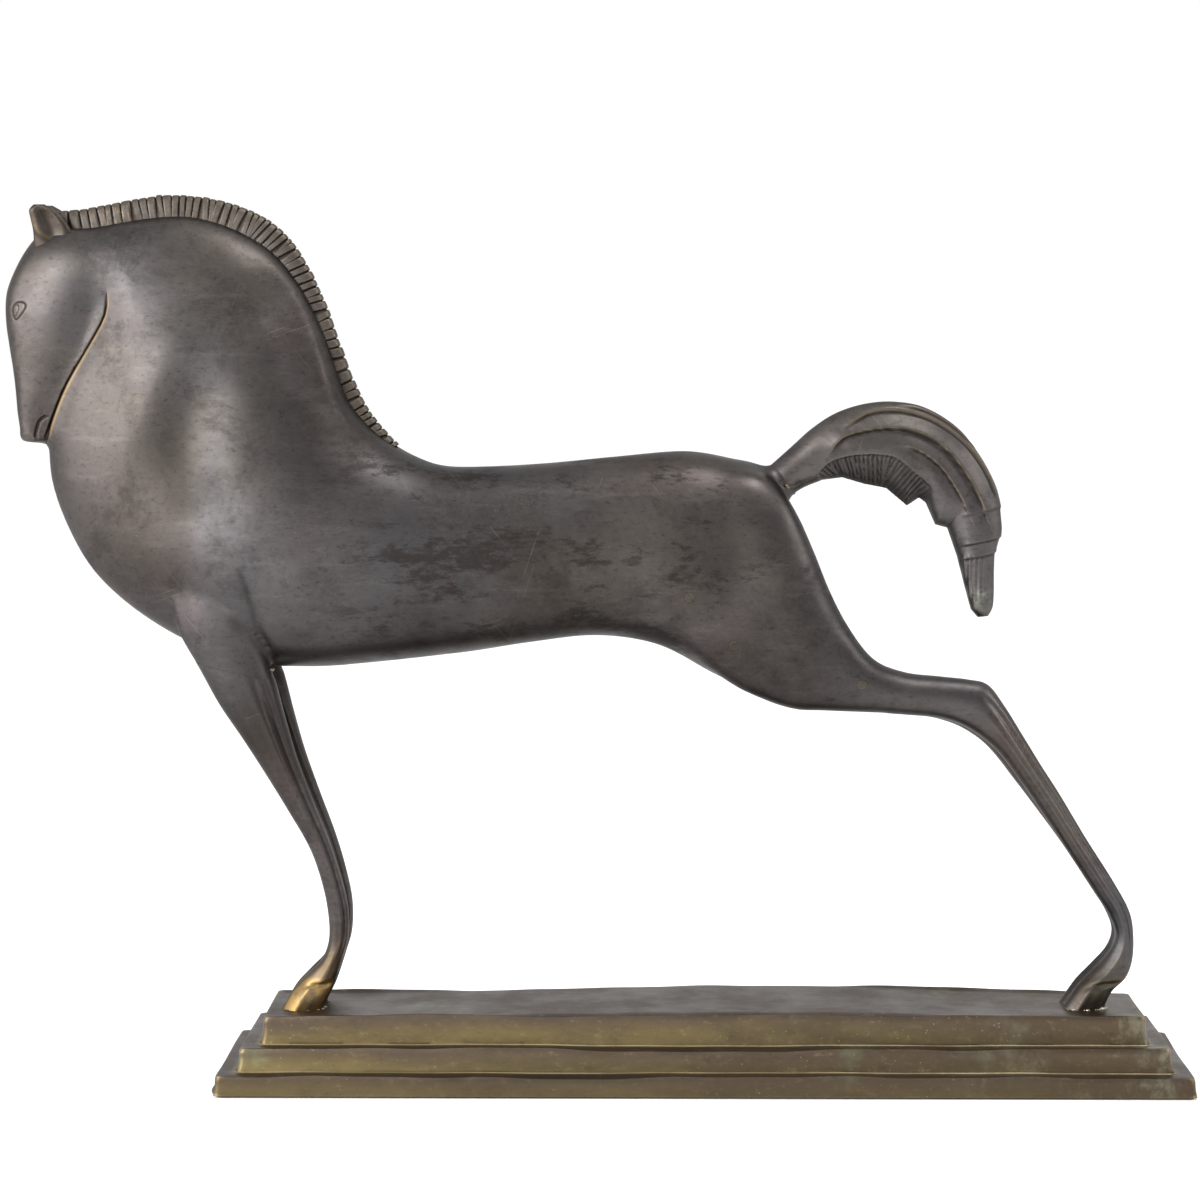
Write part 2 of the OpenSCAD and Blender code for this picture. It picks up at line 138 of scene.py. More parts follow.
JAW_SLIT = [[-270, 365], [-271, 353], [-278, 340], [-289, 322], [-296, 307], [-300, 296]]
MOUTH = [[-299, 307], [-303, 304], [-305, 296]]
ELBOW_FRONT = [[-238, 235], [-236, 216], [-229, 197]]
ELBOW_REAR = [[-209, 238], [-204, 223], [-202, 208], [-196, 193]]
SHOULDER_HOLLOW = [[-222, 336], [-229, 312], [-230, 281], [-216, 242]]
SHOULDER_RIDGE = [[-215, 322], [-214, 280], [-206, 248]]
BREAST_EDGE = [[-232, 365], [-241, 335], [-251, 311], [-266, 287], [-264, 261], [-242, 240]]
MANE_RIDGE = [[-205, 385], [-185, 364], [-174, 334], [-165, 310], [-150, 295]]
EAR_RIM = [[-304.5, 395.5], [-301, 390.5], [-294, 386.5]]

# Painted shade: x, z, radius and strength of each soft darker patch on the lower and hollow parts
SHADE_PATCHES = [[-256, 226, 26, .5], [-205, 160, 36, .7], [-128, 208, 34, .75], [-70, 220, 36, .7],
        [-110, 262, 34, .35], [0, 236, 26, .4], [38, 190, 34, .8], [-172, 302, 28, .4],
        [-240, 288, 17, .5], [-218, 214, 14, .3], [174, 42, 12, .7], [-171, 60, 12, .4]]


def drop_shape(x, z, half_x, half_z, lean):
    """Outline that narrows downwards to a blunt point set over to one side."""
    turn = 2 * math.pi * np.arange(18) / 18
    wide = half_x * (.68 + .32 * np.sin(turn))
    return np.stack([x + wide * np.cos(turn) - lean * (1 - np.sin(turn)) / 2, z + half_z * np.sin(turn)], 1)


def along_plume(first, shares):
    """Line down the tail from row `first`, at a share of each row's chord from the outer edge."""
    rows = np.array(TAIL[first:first + len(shares)], float)
    share = np.array(shares)[:, None]
    return rows[:, :2] * (1 - share) + rows[:, 2:4] * share


EYE = drop_shape(-309.5, 355, 4.6, 4, 2.5)
EYE_LID = drop_shape(-311.5, 355, 1.8, 2.8, 1)
# Locks of the tail: the line along each one's edge, and how deep it is cut
TAIL_LOCKS = [(along_plume(5, (.28, .13, .1, .09, .08, .06, .05, .05)), 1.0),
              (along_plume(7, (.04, .04, .03, .02)), .6),
              (along_plume(4, (.62, .38, .32, .29, .28, .29, .31, .33, .33)), 1.15),
              (along_plume(7, (.46, .46, .5, .54, .58)), .85)]
COMB_ROOT = along_plume(3, (.9, .68, .62, .58, .58, .68, .75, .8, .85, .95))
# Inner edge of the tail: a shallow bow, two teeth, and straight down to the tip
COMB_EDGE = [[36, 266], [45, 273], [55, 276.5], [64, 277.5], [74, 274.5], [84, 272.5], [93.5, 264.5],
             [99, 268], [102, 266], [106.5, 256], [112, 254.5], [116.5, 241.5], [120.5, 226], [123, 217],
             [126.5, 213]]
COLLARS = [(262, .5), (248.5, .7), (242, .7)]  # level and height
COLLAR_SLOPE = .22
STRAND_PITCH, TIP_PITCH, TIP_X = 2.15, 2.3, 126.5
# Points that lie on the wanted side of a line
THROAT, ABOVE_TAIL, UNDER_TAIL = [-270, 335], [60, 330], [75, 280]

# Where parts of the body melt into each other: a line, its reach and the share of smoothing
BLENDS = [([[8, 284], [-4, 250], [-2, 205], [14, 186]], 20, .5),
          ([[22, 284], [44, 258], [50, 235], [52, 205]], 12, .4),
          ([[-248, 236], [-224, 244], [-206, 240]], 9, .5),
          ([[-276, 388], [-268, 376], [-264, 366]], 13, .55),
          ([[24, 287], [34, 281], [42, 268], [42, 260]], 8, .55),
          ([[-190, 192], [-160, 192], [-120, 196]], 6, .3)]
# Muscles and hollows: a line, its width, and how high or deep it is
SWELLS = [(SHOULDER_HOLLOW, 15, -2.7), (SHOULDER_HOLLOW, 30, -1.0), (SHOULDER_RIDGE, 12, .6),
          (BREAST_EDGE, 12, 1.6), (MANE_RIDGE, 3.4, 2.4), (ELBOW_REAR, 3.4, -1.7), (ELBOW_FRONT, 4, -1.0),
          ([[-181, 246], [-184, 204]], 13, 1.6),
          ([[-206, 232], [-211, 216], [-210, 200]], 6, .8),
          ([[-208, 376], [-195, 358], [-184, 332], [-176, 308]], 7, -1.1),
          ([[-262, 360], [-268, 345], [-276, 330]], 7, -.8),
          ([[10, 262], [14, 236], [20, 212]], 14, -1.0),
          ([[34, 250], [44, 222], [56, 196]], 14, 1.0)]


# ---------------------------------------------------------------- curves and meshes

def refined(rows, parts):
    """Rows with a smooth curve through every given one, `parts` steps to a gap."""
    rows = np.asarray(rows, float)
    last = len(rows) - 1
    out = []
    for i in range(last):
        p, q, r, s = rows[max(i - 1, 0)], rows[i], rows[i + 1], rows[min(i + 2, last)]
        for t in np.arange(parts) / parts:
            out.append(.5 * (2 * q + (r - p) * t + (2 * p - 5 * q + 4 * r - s) * t * t
                             + (3 * q - p - 3 * r + s) * t ** 3))
    return np.array(out + [rows[last]])


def on_side(rows, side):
    """Rows of a limb on one side; the right one may lie a little off the mirrored left one."""
    out = np.array([r[:8] for r in rows], float)
    if side == RIGHT and len(rows[0]) > 8:
        shift = np.array([r[8:] for r in rows], float)
        out[:, [0, 2]] += shift[:, :1]
        out[:, [1, 3]] += shift[:, 1:]
    out[:, 4] *= side
    return out


def rings(rows, around, shape=None):
    """Points of every section, shape (sections, around, 3). shape(along, c, s) scales the thickness."""
    turn = 2 * math.pi * (np.arange(around) + .5) / around
    c, s = np.cos(turn)[None], np.sin(turn)[None]
    rows = np.asarray(rows, float)
    xa, za, xb, zb, y, t, pa, pb = [rows[:, k:k + 1] for k in range(8)]
    blend = .5 + .5 * c
    power = pa * blend + pb * (1 - blend)
    across = t * np.sign(s) * np.abs(s) ** power
    if shape:
        along = np.linspace(0, 1, len(rows))[:, None]
        across = across * shape(along, c, s)
    x = (xa + xb) / 2 + (xa - xb) / 2 * c
    z = (za + zb) / 2 + (za - zb) / 2 * c
    return np.stack([x, y + across, z], -1)


def grid_faces(count, around):
    return [(a * around + b, a * around + (b + 1) % around,
             (a + 1) * around + (b + 1) % around, (a + 1) * around + b)
            for a in range(count - 1) for b in range(around)]


def linked(name, data):
    """An object in the scene."""
    obj = bpy.data.objects.new(name, data)
    bpy.context.scene.collection.objects.link(obj)
    return obj


def make(name, points, faces):
    """A closed mesh object with its faces turned outwards."""
    mesh = bpy.data.meshes.new(name)
    mesh.from_pydata((np.asarray(points, float) * MM).tolist(), [], faces)
    work = bmesh.new()
    work.from_mesh(mesh)
    bmesh.ops.recalc_face_normals(work, faces=work.faces)
    work.to_mesh(mesh)
    work.free()
    return linked(name, mesh)


def tube(name, sections):
    """Closed mesh over stacked rings of equal size."""
    count, around = sections.shape[:2]
    faces = grid_faces(count, around)
    faces += [tuple(range(around)), tuple(range((count - 1) * around, count * around))]
    return make(name, sections.reshape(-1, 3), faces)


def prism(name, outline, half, y=0.0):
    """Closed slab over an outline in XZ."""
    n = len(outline)
    points = [(x, y + side * half, z) for side in (-1, 1) for x, z in outline]
    faces = [tuple(range(n)), tuple(range(n, 2 * n))]
    faces += [(i, (i + 1) % n, n + (i + 1) % n, n + i) for i in range(n)]
    return make(name, points, faces)


def settle(obj):
    """Applies the modifiers."""
    graph = bpy.context.evaluated_depsgraph_get()
    mesh = bpy.data.meshes.new_from_object(obj.evaluated_get(graph))
    obj.modifiers.clear()
    obj.data = mesh
    return obj


def carve(obj, tools, operation="DIFFERENCE"):
    for tool in tools:
        cut = obj.modifiers.new("cut", "BOOLEAN")
        cut.operation = operation
        cut.solver = "MANIFOLD"
        cut.object = tool
    return settle(obj)


def joined(name, objects):
    """One object of several, which are used up."""
    work = bmesh.new()
    for obj in objects:
        work.from_mesh(obj.data)
        bpy.data.objects.remove(obj)
    mesh = bpy.data.meshes.new(name)
    work.to_mesh(mesh)
    work.free()
    return linked(name, mesh)


def copied(obj, name):
    return linked(name, obj.data.copy())


def drop(*objects):
    for obj in objects:
        bpy.data.objects.remove(obj)


def remeshed(obj, voxel):
    grid = obj.modifiers.new("grid", "REMESH")
    grid.mode = "VOXEL"
    grid.voxel_size = voxel * MM
    return settle(obj)


def read(items, field, width, kind=np.float32):
    """One value of every item, as rows of a table."""
    out = np.empty(len(items) * width, kind)
    items.foreach_get(field, out)
    return out.reshape(-1, width)


def points_of(mesh):
    return read(mesh.vertices, "co", 3, float) / MM


def place(mesh, points):
    mesh.vertices.foreach_set("co", (points * MM).ravel())
    mesh.update()


def normals_of(mesh):
    return read(mesh.vertex_normals, "vector", 3).astype(float)


def edges_of(mesh):
    return read(mesh.edges, "vertices", 2, np.int32)


def neighbour_mean(values, edges):
    """Mean of every vertex's neighbours, for one or more columns."""
    n = len(values)
    count = np.bincount(edges.ravel(), minlength=n).clip(1)
    columns = values.reshape(n, -1)
    total = [np.bincount(edges[:, 0], columns[edges[:, 1], k], n)
             + np.bincount(edges[:, 1], columns[edges[:, 0], k], n) for k in range(columns.shape[1])]
    return (np.stack(total, 1) / count[:, None]).reshape(values.shape)


def relax(points, edges, weight, rounds):
    weight = np.broadcast_to(weight, len(points))[:, None]
    for _ in range(rounds):
        points = points + weight * (neighbour_mean(points, edges) - points)
    return points


def closed(line):
    return np.concatenate([line, line[:1]])


def smoothstep(low, high, x):
    t = np.clip((x - low) / (high - low), 0, 1)
    return t * t * (3 - 2 * t)


def bell(x, width):
    """1 at zero, fading to nothing on both sides."""
    return np.exp(-(x / width) ** 2)


def bump(x, centre, width):
    return bell(x - centre, width)


def line_field(xz, line, parts=3):
    """Signed distance to a smooth line in XZ, and how far along it the nearest point is."""
    line = refined(line, parts)
    best = np.full(len(xz), 1e9)
    sign = np.ones(len(xz))
    along = np.zeros(len(xz))
    start = 0.0
    for a, b in zip(line[:-1], line[1:]):
        d = b - a
        size = math.hypot(*d)
        rel = xz - a
        t = np.clip(rel @ d / (size * size), 0, 1)
        gap = np.hypot(rel[:, 0] - t * d[0], rel[:, 1] - t * d[1])
        near = gap < best
        best = np.where(near, gap, best)
        sign = np.where(near, np.sign(d[0] * rel[:, 1] - d[1] * rel[:, 0]), sign)
        along = np.where(near, start + t * size, along)
        start += size
    return best * sign, along, start


def side_field(xz, line, towards):
    """As line_field, but positive on the side where the point `towards` lies."""
    gap, along, length = line_field(xz, line)
    probe = line_field(np.array([towards], float), line)[0][0]
    return gap * np.sign(probe), along, length


def gap_to(points, line):
    """Distance to a smooth line, seen from the side."""
    return np.abs(line_field(points[:, [0, 2]], line)[0])


def groove(points, normals, line, width, height, fade):
    """Offset along the normal near a line on both flanks: negative height cuts in."""
    gap, along, length = line_field(points[:, [0, 2]], line)
    ends = smoothstep(0, fade * length, along) * smoothstep(0, fade * length, length - along) if fade else 1.0
    return height * bell(gap, width) * ends * np.abs(normals[:, 1])


def store(mesh, **layers):
    """Keeps one number per vertex in each named layer."""
    for name, values in layers.items():
        layer = mesh.attributes.new(name, "FLOAT", "POINT")
        layer.data.foreach_set("value", np.asarray(values, np.float32))


def blank(mesh, names):
    """Zero in every layer that the mesh hasn't got."""
    for name in names:
        if name not in mesh.attributes:
            store(mesh, **{name: np.zeros(len(mesh.vertices))})


def relief(mesh, rounds):
    """Convexity of the surface per vertex: positive on edges, negative in hollows."""
    points, normals, edges = points_of(mesh), normals_of(mesh), edges_of(mesh)
    step = points - neighbour_mean(points, edges)
    size = np.bincount(edges.ravel(), np.repeat(np.linalg.norm(
        points[edges[:, 0]] - points[edges[:, 1]], axis=1), 2), len(points))
    size = size / np.bincount(edges.ravel(), minlength=len(points)).clip(1)
    value = (step * normals).sum(1) / (size.clip(.05) ** 2)
    for _ in range(rounds):
        value = .5 * value + .5 * neighbour_mean(value, edges)
    return value


def shade(obj, angle=40):
    """Smooth shading, with sharp edges where faces meet at more than the angle."""
    mesh = obj.data
    mesh.polygons.foreach_set("use_smooth", np.ones(len(mesh.polygons), bool))
    mesh.set_sharp_from_angle(angle=math.radians(angle))
    return obj


# ---------------------------------------------------------------- the body castings

def limb_sections(rows, side, parts, around, upto, shape=None):
    """Sections of a limb, as far down as row `upto` where one is given."""
    fine = refined(on_side(rows, side), parts)
    if upto is not None:
        fine = fine[:upto * parts + 1]
    return rings(fine, around, shape)


def spot(points, x, z, radius):
    """Soft disc of influence in XZ."""
    return np.exp(-((points[:, 0] - x) ** 2 + (points[:, 2] - z) ** 2) / radius ** 2)


def dusk(points):
    """How much painted shade each point gets from the soft patches."""
    return np.max([strength * spot(points, x, z, radius) for x, z, radius, strength in SHADE_PATCHES], 0)


def fine_near(mesh, lines, reach):
    """Splits the faces near some lines into four."""
    keep = np.min([gap_to(points_of(mesh), line) for line in lines], 0) < reach
    work = bmesh.new()
    work.from_mesh(mesh)
    edges = [e for e in work.edges if keep[e.verts[0].index] and keep[e.verts[1].index]]
    bmesh.ops.subdivide_edges(work, edges=edges, cuts=1, use_grid_fill=True)
    work.to_mesh(mesh)
    work.free()
    points = points_of(mesh)
    weight = np.max([smoothstep(reach * 1.3, reach * .6, gap_to(points, line)) for line in lines], 0)
    place(mesh, relax(points, edges_of(mesh), weight * .5, 4))


def dock_rows():
    """Stub of the body that the tail leaves through, a little thicker than the tail at its root."""
    rows = refined(np.array(TAIL[:5], float), 6)[:-3]
    grow = np.linspace(1.16, .97, len(rows))[:, None]
    middle = (rows[:, :2] + rows[:, 2:4]) / 2
    rows[:, :2] = middle + (rows[:, :2] - middle) * grow
    rows[:, 2:4] = middle + (rows[:, 2:4] - middle) * grow
    rows[:, 5] *= grow[:, 0]
    return rows


def joins_smoothed(mesh):
    """Melts the parts of the body into each other. Returns its points, and how free each is of a seam."""
    edges = edges_of(mesh)
    points = relax(points_of(mesh), edges, .5, 3)
    elbow = np.abs(line_field(points[:, [0, 2]], ELBOW_SEAM, 1)[0])
    seams = np.minimum(elbow, np.abs(points[:, 0] - GASKIN_X))
    free = smoothstep(1.5, 7, seams)
    soft = np.max([amount * bell(gap_to(points, line), radius) for line, radius, amount in BLENDS], 0)
    creases = np.minimum(gap_to(points, ELBOW_REAR), gap_to(points, ELBOW_FRONT))
    points = relax(points, edges, soft * free * smoothstep(2, 7, creases), 60)
    place(mesh, points)
    return points, free


def flanks_modelled(mesh, points, free):
    """Muscles of the shoulder and haunch, and a soft turn into the jaw slit."""
    normals = normals_of(mesh)
    move = sum(groove(points, normals, *swell, .3) for swell in SWELLS)
    place(mesh, points + normals * (move * free)[:, None])
    edges = edges_of(mesh)
    points = relax(points_of(mesh), edges, .5, 3)
    gap, along, length = line_field(points[:, [0, 2]], JAW_SLIT)
    place(mesh, relax(points, edges, .55 * bell(gap, 8) * smoothstep(-2, 8, length - along), 110))


def head_modelled(mesh):
    """Jaw slit, mouth and eyes."""
    fine_near(mesh, [JAW_SLIT, MOUTH, EYE, ELBOW_REAR], 5)
    fine_near(mesh, [JAW_SLIT, MOUTH, EYE], 2.6)
    points, normals = points_of(mesh), normals_of(mesh)
    gap, along, length = side_field(points[:, [0, 2]], JAW_SLIT, THROAT)
    ends = smoothstep(-1, 12, along) * smoothstep(-3, 4, length - along)
    side = np.abs(normals[:, 1])
    flank = side ** .3
    cheek, throat = smoothstep(.5, -.5, gap), smoothstep(-.5, .5, gap)
    move = -1.5 * spot(points, -272, 361, 8) * flank
    move += ends * flank * (-1.7 * cheek * bell(gap, 8)
                            + .9 * smoothstep(14, 45, along) * throat * bell(gap, 7)
                            - 1.4 * smoothstep(0, 14, along) * bell(gap + .3, .7))
    move += groove(points, normals, MOUTH, .8, -.9, .1)
    move += groove(points, normals, closed(EYE), .4, -.35, 0)
    move += groove(points, normals, closed(EYE_LID), .35, -.2, 0)
    move += .35 * spot(points, -309, 355.5, 3.2) * side
    place(mesh, points + normals * move[:, None])


def body_worn(mesh):
    """Painted highlight on the neck's edge behind the jaw slit, painted shade in the cut lines, and soft
    patches of painted shade.
    """
    points = points_of(mesh)
    gap, along, length = side_field(points[:, [0, 2]], JAW_SLIT, THROAT)
    ends = smoothstep(0, 8, along) * smoothstep(0, 4, length - along)
    painted_shade = bell(gap, .7) * ends
    for line, width, depth in ((MOUTH, .55, .7), (closed(EYE), .35, .5), (closed(EYE_LID), .3, .2),
                               (ELBOW_REAR, 1.6, .45)):
        painted_shade = np.maximum(painted_shade, depth * bell(gap_to(points, line), width))
    # Layers: a painted highlight line behind the jaw slit, painted shade in the cut lines, patches of painted
    # shade.
    store(mesh, brass=bell(gap - 1.2, .6) * ends * .42, grime=painted_shade, dusk=dusk(points), edge=relief(mesh, 6))


def body_master():
    """Trunk, neck, head and the roots of the legs as one skin, to be cut into its castings."""
    parts = [tube("trunk", rings(refined(TRUNK, 5), 80)), tube("head", rings(refined(HEAD, 7), 64))]
    for side in (LEFT, RIGHT):
        parts.append(tube("shoulder", limb_sections(FORELEG, side, 8, 48, 6)))
        parts.append(tube("haunch", limb_sections(HINDLEG, side, 8, 48, 10)))
    parts.append(tube("dock", rings(dock_rows(), 48)))
    body = remeshed(joined("body", parts), BODY_GRID)
    flanks_modelled(body.data, *joins_smoothed(body.data))
    head_modelled(body.data)
    body_worn(body.data)
    return body


def elbow_region():
    """Everything below the seam of the forelegs."""
    return prism("elbow_region", ELBOW_SEAM + [[-120, 0], [-300, 0]], 90)


def gaskin_region():
    """Everything behind the seam of the hind legs."""
    return prism("gaskin_region", [[GASKIN_X, 0], [GASKIN_X, 260], [300, 260], [300, 0]], 90)


def mane_slab():
    """Cuts the rebate that the mane sits in."""
    outer, inner = refined(MANE_OUTER, 4), refined(MANE_INNER, 4)
    outline = np.concatenate([outer + (outer - inner) * .5, (inner - (outer - inner) * .04)[::-1]])
    return prism("mane_slab", outline, MANE_HALF - .1)


def plug_pin(x, z, side, radius):
    turn = 2 * math.pi * np.arange(28) / 28
    outline = np.stack([x + radius * np.cos(turn), z + radius * np.sin(turn)], 1)
    return prism("pin", outline, 20, side * 35)


def carry(source, target, names):
    """Gives target the vertex values of the nearest vertex of source."""
    tree = kdtree.KDTree(len(source.vertices))
    for v in source.vertices:
        tree.insert(v.co, v.index)
    tree.balance()
    near = np.array([tree.find(v.co)[1] for v in target.vertices])
    for name in names:
        if name in target.attributes:
            target.attributes.remove(target.attributes[name])
        store(target, **{name: read(source.attributes[name].data, "value", 1)[near, 0]})


def body_castings():
    """The two hollow halves and the plugs that close their core pin holes."""
    body = body_master()
    cavity = tube("cavity", rings(shrunk(refined(TRUNK[CAVITY_ROWS], 2), CAVITY_WALL, CAVITY_FLANK), 40))
    tools = [cavity, mane_slab(), elbow_region(), gaskin_region()]
    halves, plugs = [], []
    for side, name in ((LEFT, "left"), (RIGHT, "right")):
        box = prism("half", [[-400, 0], [400, 0], [400, 600], [-400, 600]], 100, side * 100)
        half = carve(copied(body, "body_half_" + name), [box], "INTERSECT")
        pins = [plug_pin(x, z, side, PLUG_RADIUS) for x, z in PLUGS]
        for pin in pins:
            plug = copied(body, "plug")
            carve(plug, [pin], "INTERSECT")
            plugs.append(carve(plug, [cavity]))
        holes = [plug_pin(x, z, side, PLUG_RADIUS + PLUG_GAP) for x, z in PLUGS]
        carve(half, tools + holes)
        carry(body.data, half.data, ["edge", "brass", "grime", "dusk"])
        halves.append(half)
        drop(box, *pins, *holes)
    plug = joined("core_plugs", plugs)
    drop(body, *tools)
    return halves, plug


def shrunk(rows, wall, flank):
    """Rows moved in by a wall above and below, and by another on the flanks."""
    out = np.array(rows, float)
    chord = out[:, :2] - out[:, 2:4]
    size = np.linalg.norm(chord, axis=1, keepdims=True)
    out[:, :2] -= chord / size * wall
    out[:, 2:4] += chord / size * wall
    out[:, 5] -= flank
    return out


# ---------------------------------------------------------------- legs

def foreleg_shape(along, c, s):
    shank = smoothstep(.1, .3, along) * (1 - smoothstep(.68, .8, along))
    hoof = smoothstep(.86, .9, along)
    return (1 + shank * (.10 * bump(c, -.3, .17) - .24 * bump(c, -.62, .13) + .04 * bump(c, .5, .3))
            + .10 * smoothstep(.72, .8, along) * (1 - hoof) * bump(c, -.1, .25)
            - .15 * bump(along, .873 + .03 * c, .010) * smoothstep(.7, .2, c)
            + hoof * (.10 * bump(c, .3, .22) - .10 * smoothstep(.5, .95, c)))


def hindleg_shape(along, c, s):
    shank = smoothstep(.42, .55, along) * (1 - smoothstep(.8, .88, along))
    hoof = smoothstep(.9, .93, along)
    return (1 + shank * (.10 * bump(c, -.1, .2) - .2 * bump(c, .5, .15))
            + .1 * smoothstep(.8, .86, along) * (1 - hoof) * bump(c, -.2, .2)
            - .13 * bump(along, .94 - .02 * c, .008) * smoothstep(-.8, -.2, c)
            + hoof * .09 * bump(c, -.3, .2))


def finish_cast(obj, rounds):
    """Stores the convexity that the materials read for edge wear and painted shade in hollows, fills the
    layers that are not set with zero, and smooths the shading.
    """
    store(obj.data, edge=relief(obj.data, rounds))
    blank(obj.data, ("brass", "grime", "pale"))
    return shade(obj)


def leg(name, rows, side, shape, region, hoof_brass_and_highlight):
    """Leg below its seam. The last argument says how far its hoof and pastern are rubbed to brass and given
    painted highlight.
    """
    cast = tube(name, limb_sections(rows, side, 14, 72, None, shape))
    store(cast.data, edge=relief(cast.data, 4))
    whole = copied(cast, "whole")
    carve(cast, [region], "INTERSECT")
    carry(whole.data, cast.data, ["edge"])
    drop(whole)
    points, normals = points_of(cast.data), normals_of(cast.data)
    # Worn brass with painted highlight on the hoof and pastern: only on faces turned to the sides, the way
    # the light falls on them.
    facet = smoothstep(.25, .6, np.abs(normals[:, 1]))
    low = hoof_brass_and_highlight * facet * (smoothstep(49, 45, points[:, 2]) + .3 * smoothstep(75, 52, points[:, 2])).clip(0, 1)
    heel = .3 * spot(points, 184, 42, 4) * (hoof_brass_and_highlight < .5)
    store(cast.data, brass=low, dusk=dusk(points), pale=heel)
    return shade(cast)


# ---------------------------------------------------------------- tail

def meets_edge(section, row, edge):
    """Moves the inner side of one tail section in or out to an edge line in XZ."""
    a = row[:2]
    d = row[2:4] - a
    size = np.linalg.norm(d)
    d = d / size
    hit = size
    for p, q in zip(edge[:-1], edge[1:]):
        e, w = q - p, p - a
        cross = d[0] * e[1] - d[1] * e[0]
        if abs(cross) < 1e-9:
            continue
        far, t = (w[0] * e[1] - w[1] * e[0]) / cross, (w[0] * d[1] - w[1] * d[0]) / cross
        if 0 <= t <= 1 and size * .55 < far < size * 1.3:
            hit = far
    along = ((section[:, [0, 2]] - a) @ d) / size
    push = (hit / size - 1) * size * smoothstep(.35, 1, along)
    section[:, 0] += push * d[0]
    section[:, 2] += push * d[1]


def tail_cast():
    """Plume with its locks on the outside, a comb of strands inside, two collars and a ridged tip."""
    rows = refined(TAIL, 17)
    sections = rings(rows, 224)
    for section, row in zip(sections, rows):
        meets_edge(section, row, np.array(COMB_EDGE, float))
    tail = tube("tail_plume", sections)
    points, normals = points_of(tail.data), normals_of(tail.data)
    xz = points[:, [0, 2]]
    flank = np.abs(normals[:, 1]) ** .5
    move, painted_shade, lock_highlight = np.zeros((3, len(points)))
    for line, depth in TAIL_LOCKS:
        gap, along, length = side_field(xz, line, ABOVE_TAIL)
        ends = smoothstep(0, 12, along) * smoothstep(-4, 6, length - along)
        step = depth * 1.4 * np.tanh(gap / .7) * np.exp(-np.abs(gap) / 5)
        move += ends * flank * (step - .7 * depth * bell(gap, .5))
        # Painted shade along the foot of each lock and a painted highlight along its upper edge.
        painted_shade = np.maximum(painted_shade, .8 * ends * bell(gap + .1, .4))
        lock_highlight = np.maximum(lock_highlight, .3 * ends * bell(gap - .7, .35))
    inside, along, length = side_field(xz, COMB_ROOT, UNDER_TAIL)
    comb = smoothstep(.0, 1.0, inside) * smoothstep(1, 8, along) * smoothstep(0, 4, length - along)
    comb *= smoothstep(106, 100, points[:, 0])
    strand = .5 - .5 * np.cos(2 * math.pi * along / STRAND_PITCH)
    move += comb * flank * (-.7 - .55 * (1 - strand) ** 2)
    # Painted shade over the recessed comb, deepest between the strands.
    painted_shade = np.maximum(painted_shade, comb * (.45 + .35 * (1 - strand) ** 3))
    for level, depth in COLLARS:
        below = level + COLLAR_SLOPE * (points[:, 0] - 128) - points[:, 2]
        reach = smoothstep(117, 122, points[:, 0])
        move += reach * depth * (.5 - .5 * np.tanh(below / .35)) * np.exp(-np.abs(below) / 6)
        # Painted shade under each collar step.
        painted_shade = np.maximum(painted_shade, .5 * reach * bell(below, .5))
    tip = smoothstep(243, 240, points[:, 2]) * smoothstep(214, 224, points[:, 2])
    move += tip * flank * .13 * np.cos(2 * math.pi * (points[:, 0] - TIP_X) / TIP_PITCH)
    place(tail.data, points + normals * move[:, None])
    store(tail.data, grime=painted_shade, brass=lock_highlight, pale=.8 * spot(points, 127, 224, 5))
    return finish_cast(tail, 4)


# ---------------------------------------------------------------- mane and ears

def nearest_on(line, point):
    a, d = line[:-1], np.diff(line, axis=0)
    t = np.clip(((point - a) * d).sum(1) / (d * d).sum(1), 0, 1)[:, None]
    spots = a + d * t
    return spots[np.argmin(np.linalg.norm(spots - point, axis=1))]


